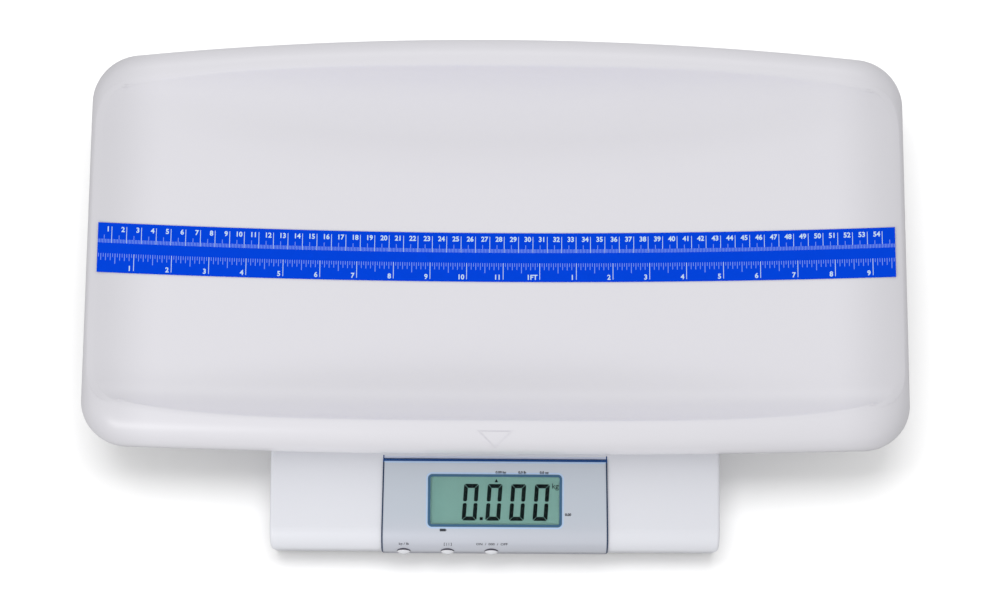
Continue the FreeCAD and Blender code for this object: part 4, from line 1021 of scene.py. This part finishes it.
class SCALE_OT_tape(bpy.types.Operator):
    """Lay the measuring tape in the tray"""

    bl_idname = "scale.tape"
    bl_label = "Measuring tape"

    def execute(self, context):
        tape, tray = context.scene.scale_tape, context.scene.scale_tray
        put_down()
        bpy.ops.mesh.primitive_plane_add(size=1, rotation=(0, math.pi / 2, 0))
        strip = named("tape_film")
        strip.scale = (tape.thickness, tape.width, 1)
        strip.location = (0, tape.middle, tray.floor + tape.lift + tape.thickness / 2)
        settle(strip)
        smooth(swing(strip, tray, -tape.length / 2, tape.length, tape.steps))
        blue = context.scene.scale_paints.tape
        film = printed("tape_blue", blue, 0.5, Specular_IOR_Level=0.02)
        finished(strip, "tray", film, "tape_blue", "measuring_tape")
        return {"FINISHED"}


class SCALE_OT_tape_print(bpy.types.Operator):
    """Print the tape's ticks and numbers"""

    bl_idname = "scale.tape_print"
    bl_label = "Tape print"

    def execute(self, context):
        tape, tray = context.scene.scale_tape, context.scene.scale_tray
        paints = context.scene.scale_paints
        white = printed("tape_white", paints.print, 0.45)
        pale = printed("tape_pale", paints.fine_print, 0.45)
        mm, cm, inch = 1 * MM, 10 * MM, 25.4 * MM
        # Start, pitch, share of the width from and to, line width and ink height of each row.
        short = (
            (mm, mm, 0.33, 0.405, 1.15, 0.6),
            (cm / 2, cm, 0.248, 0.405, 1.15, 1),
            (inch / 16, inch / 8, 0.618, 0.69, 1.1, 1),
            (inch / 8, inch / 4, 0.618, 0.755, 1.2, 1),
            (inch / 4, inch / 2, 0.618, 0.76, 1.3, 1),
            (inch / 2, inch, 0.618, 0.822, 1.4, 1),
        )
        long = ((cm, cm, 0.075, 0.405, 1.1, 1), (inch, inch, 0.618, 0.953, 1.2, 1))
        for name, rows, ink in (("tape_ticks", short, pale), ("tape_long_ticks", long, white)):
            made = [ticks(name, tape, tray, *row) for row in rows]
            finished(joined(name, made), "tray", ink, "tape_blue")
        centimetres = [str(k) for k in range(1, 55)]
        inches = [str(k) for k in range(1, 12)] + ["1FT"] + [str(k) for k in range(1, 10)]
        made = numbers(tape, tray, centimetres, cm, 1.3 * MM, 0.174)
        made += numbers(tape, tray, inches, inch, 1.6 * MM, 0.952)
        finished(joined("tape_numbers", made), "tray", white, "tape_blue")
        return {"FINISHED"}


# ---------------------------------------------------------------- the base and its display

def slope_frame(display):
    """The sloping front's own frame: X across, Y up the slope, Z off its face."""
    origin = Matrix.Translation((0, -display.slope_start, display.slope_top))
    return origin @ Matrix.Rotation(display.slope, 4, "X")


def digit_bars(display):
    """The six lit bars of a nought, as corner lists about its lower left corner."""
    wide, high, bar, gap = display.digit_width, display.digit_height, display.stroke, display.gap
    # The outer corners are cut off, and a thin gap runs in along each mitre.
    half, corner, middle = high / 2, 1.0 * MM, 0.6 * MM
    near, far = corner / 2 - gap, corner / 2 + gap
    foot = [(far, near), (corner, 0), (wide - corner, 0), (wide - far, near)]
    foot += [(wide - bar - gap, bar), (bar + gap, bar)]
    shoulder = half - middle - bar * 0.25
    side = [(near, far), (0, corner), (0, shoulder), (bar * 0.25, half - middle)]
    side += [(bar * 0.75, half - middle), (bar, shoulder), (bar, bar + gap)]
    far_side = [(wide - x, y) for x, y in side]
    bars = []
    for corners in (foot, side, far_side):
        bars += [corners, [(x, high - y) for x, y in corners]]
    return bars


class SCALE_OT_digits(bpy.types.Operator):
    """Set the display's digits and marks on its cell"""

    bl_idname = "scale.digits"
    bl_label = "Display digits"

    def execute(self, context):
        display, paints = context.scene.scale_display, context.scene.scale_paints
        low, high = -0.16 * MM, -0.08 * MM
        lean = math.tan(display.slant)
        left, foot = -22.9 * MM, -56.0 * MM
        made = []
        for digit in range(4):
            start = left + digit * display.digit_pitch
            for corners in digit_bars(display):
                points = [(start + x + y * lean, foot + y) for x, y in corners]
                made.append(cut_plate("bar", points, low, high))
        # The decimal point, the pointer over the scale in use, and its unit.
        x, y, half = -9.35 * MM, -55.7 * MM, 1.05 * MM
        point = rectangle(x - half, y, x + half, y + 2 * half)
        made.append(cut_plate("point", point, low, high))
        x, y, half, tall = 0.9 * MM, -27.3 * MM, 1.3 * MM, 2.4 * MM
        pointer = [(x, y), (x - half, y - tall), (x + half, y - tall)]
        made.append(cut_plate("pointer", pointer, low, high))
        unit = lettering("kg", 3.7 * MM, high - low, bold=0.02 * MM, align="LEFT")
        made.append(placed(unit, Matrix.Translation((39.1 * MM, -33.8 * MM, (low + high) / 2))))
        digits = placed(joined("display_digits", made), slope_frame(display))
        black = printed("digit_black", paints.digit, 0.6, Specular_IOR_Level=0.05)
        finished(digits, "base", black, "display_cell")
        return {"FINISHED"}


def window_ring(display, out, height, steps=6):
    """Points round the window, a given distance outside it."""
    half_width, half_height = display.window_width / 2, display.window_height / 2
    radius = display.window_corner
    points = []
    for corner, (side, end) in enumerate(((1, 1), (-1, 1), (-1, -1), (1, -1))):
        x = side * (half_width - radius)
        y = end * (half_height - radius) - display.window_middle
        for step in range(steps + 1):
            turn = (corner + step / steps) * math.pi / 2
            reach = radius + out
            points.append(Vector((x + reach * math.cos(turn), y + reach * math.sin(turn), height)))
    return points


class SCALE_OT_marks(bpy.types.Operator):
    """Print small plain marks on the front panel"""

    bl_idname = "scale.marks"
    bl_label = "Panel marks"

    def execute(self, context):
        display, paints = context.scene.scale_display, context.scene.scale_paints
        place = slope_frame(display)
        face, ink = 1.06 * MM, 0.04 * MM
        low, high = face - ink / 2, face + ink / 2
        made = []
        # Each word and its place on the panel, in millimetres.
        for text, x, y in (
            ("0.00 kg", 3.9, -23.7),
            ("0.0 lb", 18.7, -23.7),
            ("0.0 oz", 33.8, -23.7),
            ("0.00", 50.4, -52.4),
        ):
            word = lettering(text, 1.7 * MM, ink, bold=0.14 * MM)
            made.append(placed(word, Matrix.Translation((x * MM, y * MM, face))))
        # A battery lying on its side: its body and, on the right, its narrower end.
        x, y, body, end = -35.6 * MM, -62.6 * MM, 0.9 * MM, 0.4 * MM
        left, step, right = x - 2.2 * MM, x + 1.8 * MM, x + 2.4 * MM
        upper = [(right, y + end), (step, y + end), (step, y + body), (left, y + body)]
        lower = [(px, 2 * y - py) for px, py in reversed(upper)]
        made.append(cut_plate("battery_mark", lower + upper, face, high))
        # Painted highlight: a pale ring round the window and a pale line under the trim's top
        # edge.
        near, far = 0.1 * MM, 1.2 * MM
        section = ((near, low), (near, high), (far, high), (far, low))
        ring = closed_rail("ring", [window_ring(display, *corner) for corner in section])
        half, top = display.panel_width / 2, -display.panel_top
        end = half - 1.4 * MM
        line = block("line", (-end, top - 2.6 * MM, low), (end, top - 2.1 * MM, high))
        glow = placed(joined("panel_glow", [ring, line]), place)
        finished(glow, "base", printed("glow_blue", paints.glow, 0.4), "panel_silver")
        # A line closes the trim's upper edge, and its two ends run on past the band.
        low, high = ink / 2, 2 * ink
        wide, over = 0.8 * MM, top + 0.45 * MM
        edge = [block("panel_edge", (-half, top + 0.05 * MM, low), (half, over, high))]
        for start in (-half, half - wide):
            edge.append(block("end", (start, over, low), (start + wide, top + 2.6 * MM, high)))
        blue = printed("edge_blue", paints.trim, 0.4, Specular_IOR_Level=0.2)
        finished(placed(joined("panel_edge", edge), place), "base", blue, "trim_blue")
        band = block("panel_band", (wide - half, over, low), (half - wide, top + 2 * MM, high))
        lilac = printed("band_lilac", paints.band, 0.4)
        finished(placed(band, place), "base", lilac, "panel_silver")
        marks = placed(joined("panel_marks", made), place)
        black = printed("mark_ink", paints.mark, 0.5)
        finished(marks, "base", black, "panel_silver")
        # The nose's own frame: its axis, turned so that Z leaves the face at the labels.
        axis = Matrix.Translation((0, -display.nose_front, display.nose_height))
        nose = axis @ Matrix.Rotation(display.label_lean, 4, "X")
        foot, words = -0.9 * MM, []
        for text, x in (("kg / lb", -62.6), ("[ | | ]", -32.3), ("ON  /  000  /  OFF", -1.9)):
            word = lettering(text, 2.0 * MM, ink, bold=0.05 * MM)
            spot = Matrix.Translation((x * MM, foot, display.label_reach))
            words.append(placed(word, nose @ spot))
        finished(joined("button_marks", words), "base", black, "panel_silver")
        return {"FINISHED"}


class SCALE_OT_housing(bpy.types.Operator):
    """Finish the base, its panel and its window"""

    bl_idname = "scale.housing"
    bl_label = "Base and panel"

    def execute(self, context):
        display, paints = context.scene.scale_display, context.scene.scale_paints
        clear = Finish("clear_lens", (0.98, 0.99, 0.99), 0.04, Transmission_Weight=1.0, IOR=1.08)
        clear.bumped(clear.noise(300, 1.0), 0.002 * MM)
        cover = moulded("cover_white", paints.cover, 0.36, Coat_Weight=0.12, Coat_Roughness=0.3)
        coarse = {"grain": 900, "depth": 0.04 * MM}
        paint_nodes(
            (cover, "base_cover"),
            (moulded("pan_white", paints.pan, 0.5, **coarse), "base_pan"),
            (moulded("door_white", paints.pan, 0.5, **coarse), "battery_door"),
            (make_silver(paints), "display_panel"),
            (make_trim(paints), "panel_trim"),
            (printed("border_blue", paints.border, 0.3, Coat_Weight=0.4), "window_border"),
            (clear, "display_lens"),
            (make_cell(paints), "lcd_glass"),
            (make_pearl(display), "unit_button hold_button power_button"),
        )
        return {"FINISHED"}


class SCALE_OT_works(bpy.types.Operator):
    """Finish everything inside and under the base"""

    bl_idname = "scale.works"
    bl_label = "Inner works"

    def execute(self, context):
        rough = 0.03 * MM
        paint_nodes(
            (
                brushed("zinc_steel", (0.56, 0.57, 0.60), 0.36, "x"),
                "chassis_plate weighing_frame lower_spacer upper_spacer",
            ),
            (
                brushed("screw_steel", (0.50, 0.51, 0.53), 0.3, "z"),
                "base_screws board_screws button_board_screws chassis_screws load_cell_bolts"
                " overload_stops frame_posts",
            ),
            (brushed("milled_aluminium", (0.74, 0.75, 0.78), 0.34, "y"), "load_cell"),
            (
                brushed("plated_contact", (0.78, 0.77, 0.74), 0.22, "z"),
                "battery_plates battery_springs",
            ),
            (
                moulded("dark_plastic", (0.016, 0.016, 0.018), 0.5, depth=rough),
                "lcd_bezel switch_bodies",
            ),
            (moulded("chip_black", (0.008, 0.008, 0.009), 0.55, depth=rough), "board_components"),
            (soft("foot_rubber", (0.018, 0.018, 0.02)), "rubber_feet"),
            (soft("cap_rubber", (0.075, 0.08, 0.09)), "post_caps"),
            (soft("sealant", (0.78, 0.78, 0.75), 0.5), "gauge_seals"),
            (soft("connector_rubber", (0.52, 0.1, 0.17), 0.6), "lcd_connectors"),
            (
                moulded("plunger_brown", (0.1, 0.045, 0.02), 0.4),
                "unit_plunger hold_plunger power_plunger",
            ),
            (soft("wire_red", (0.32, 0.012, 0.01), 0.45), "battery_wires"),
            (soft("wire_grey", (0.17, 0.18, 0.2), 0.45), "load_cell_cable"),
            (soft("wire_white", (0.7, 0.7, 0.7), 0.45), "button_wires"),
            (make_board(), "main_board button_board"),
            (make_sleeve(), "battery_cells"),
        )
        return {"FINISHED"}


# ---------------------------------------------------------------- the studio

def area_light(name, place, target, size, power):
    """Hang a lamp at a place and point it at a target."""
    put_down()
    bpy.ops.object.light_add(type="AREA", location=place)
    lamp = bpy.context.object
    lamp.name = name
    lamp.rotation_euler = (Vector(target) - Vector(place)).to_track_quat("-Z", "Y").to_euler()
    lamp.data.shape = "RECTANGLE"
    lamp.data.size, lamp.data.size_y = size
    lamp.data.energy = power
    return lamp


def aim_light(lamp, piece, state):
    """Let a lamp reach one piece alone, or everything but that piece."""
    group = bpy.data.collections.new(lamp.name + "_reach")
    group.objects.link(piece)
    group.collection_objects[0].light_linking.link_state = state
    lamp.light_linking.receiver_collection = group


class SCALE_OT_studio(bpy.types.Operator):
    """Lay the floor, hang the lights and set up the camera"""

    bl_idname = "scale.studio"
    bl_label = "Studio"

    def execute(self, context):
        studio = context.scene.scale_studio
        context.scene.view_settings.view_transform = "Standard"
        eye, fall, roll = (0.00261, -0.23728, 1.49672), 1.4075, 0.0063
        put_down()
        bpy.ops.object.camera_add(location=eye)
        camera = bpy.context.object
        camera.name = "camera"
        camera.data.lens = studio.lens
        camera.data.sensor_width = 36
        camera.data.clip_start = 0.05
        tilt = Matrix.Rotation(math.pi / 2 - fall, 4, "X") @ Matrix.Rotation(roll, 4, "Z")
        camera.rotation_euler = tilt.to_euler()
        context.scene.camera = camera
        put_down()
        bpy.ops.mesh.primitive_plane_add(size=8)
        ground = named("floor")
        # The camera sees a white floor that glows white from a distance on. The light that
        # bounces off it is that of a grey one.
        grey = Finish("floor_white", (0.4, 0.4, 0.4), 0.9, Specular_IOR_Level=0.0)
        white = grey.node("ShaderNodeBsdfDiffuse", Color=(0.98, 0.98, 0.98, 1))
        glow = grey.node("ShaderNodeEmission", Color=(1, 1, 1, 1))
        size = {"operation": "LENGTH"}
        away = grey.node("ShaderNodeVectorMath", grey.place, settings=size, output="Value")
        white = grey.node("ShaderNodeMixShader", away.eased(0.5, 0.9), white, glow)
        seen = grey.node("ShaderNodeLightPath", output="Is Camera Ray")
        look = grey.node("ShaderNodeMixShader", seen, Flow(grey, grey.shader.outputs[0]), white)
        grey.feed(grey.tree.nodes["Material Output"].inputs["Surface"], look)
        ground.data.materials.append(grey.material)
        # Each lamp's place, target, size and power.
        settings = {
            "front": ((-0.55, -0.75, 0.7), (-0.05, -0.1, 0.05), (0.5, 0.3), studio.front),
            "rear": ((0, 1.6, 1), (0, 0, 0.05), (1.4, 0.4), studio.rear),
            "ground": ((-0.06, 0.3, 1.5), (0, -0.05, 0.05), (0.9, 0.5), studio.ground),
        }
        lamps = {name: area_light(name, *values) for name, values in settings.items()}
        aim_light(lamps["front"], ground, "EXCLUDE")
        aim_light(lamps["ground"], ground, "INCLUDE")
        world = bpy.data.worlds.new("room")
        context.scene.world = world
        world.use_nodes = True
        tree = world.node_tree
        back = tree.nodes["Background"]
        back.inputs["Color"].default_value = (1, 1, 1, 1)
        path = tree.nodes.new("ShaderNodeLightPath")
        level = tree.nodes.new("ShaderNodeMix")
        level.inputs["A"].default_value = studio.sky
        level.inputs["B"].default_value = 1.0
        tree.links.new(path.outputs["Is Camera Ray"], level.inputs["Factor"])
        tree.links.new(level.outputs["Result"], back.inputs["Strength"])
        return {"FINISHED"}


class SCALE_PT_panel(bpy.types.Panel):
    """The scale's pieces in the sidebar"""

    bl_label = "Baby weighing scale"
    bl_idname = "SCALE_PT_panel"
    bl_space_type = "VIEW_3D"
    bl_region_type = "UI"
    bl_category = "Scale"

    def draw(self, context):
        for operator in PIECES:
            self.layout.operator(operator.bl_idname)


PIECES = (
    SCALE_OT_studio,
    SCALE_OT_tray,
    SCALE_OT_tape,
    SCALE_OT_tape_print,
    SCALE_OT_housing,
    SCALE_OT_digits,
    SCALE_OT_marks,
    SCALE_OT_works,
)
GROUPS = {
    "scale_tray": TrayShape,
    "scale_tape": TapeShape,
    "scale_display": DisplayShape,
    "scale_paints": Paints,
    "scale_studio": Studio,
}


def register():
    for kind in (*GROUPS.values(), *PIECES, SCALE_PT_panel):
        bpy.utils.register_class(kind)
    for name, kind in GROUPS.items():
        setattr(bpy.types.Scene, name, bpy.props.PointerProperty(type=kind))


def unregister():
    for name in GROUPS:
        delattr(bpy.types.Scene, name)
    for kind in (SCALE_PT_panel, *reversed(PIECES), *reversed(tuple(GROUPS.values()))):
        bpy.utils.unregister_class(kind)


def main():
    register()
    for operator in PIECES:
        getattr(bpy.ops.scale, operator.bl_idname.split(".")[1])()


if __name__ == "__main__":
    main()
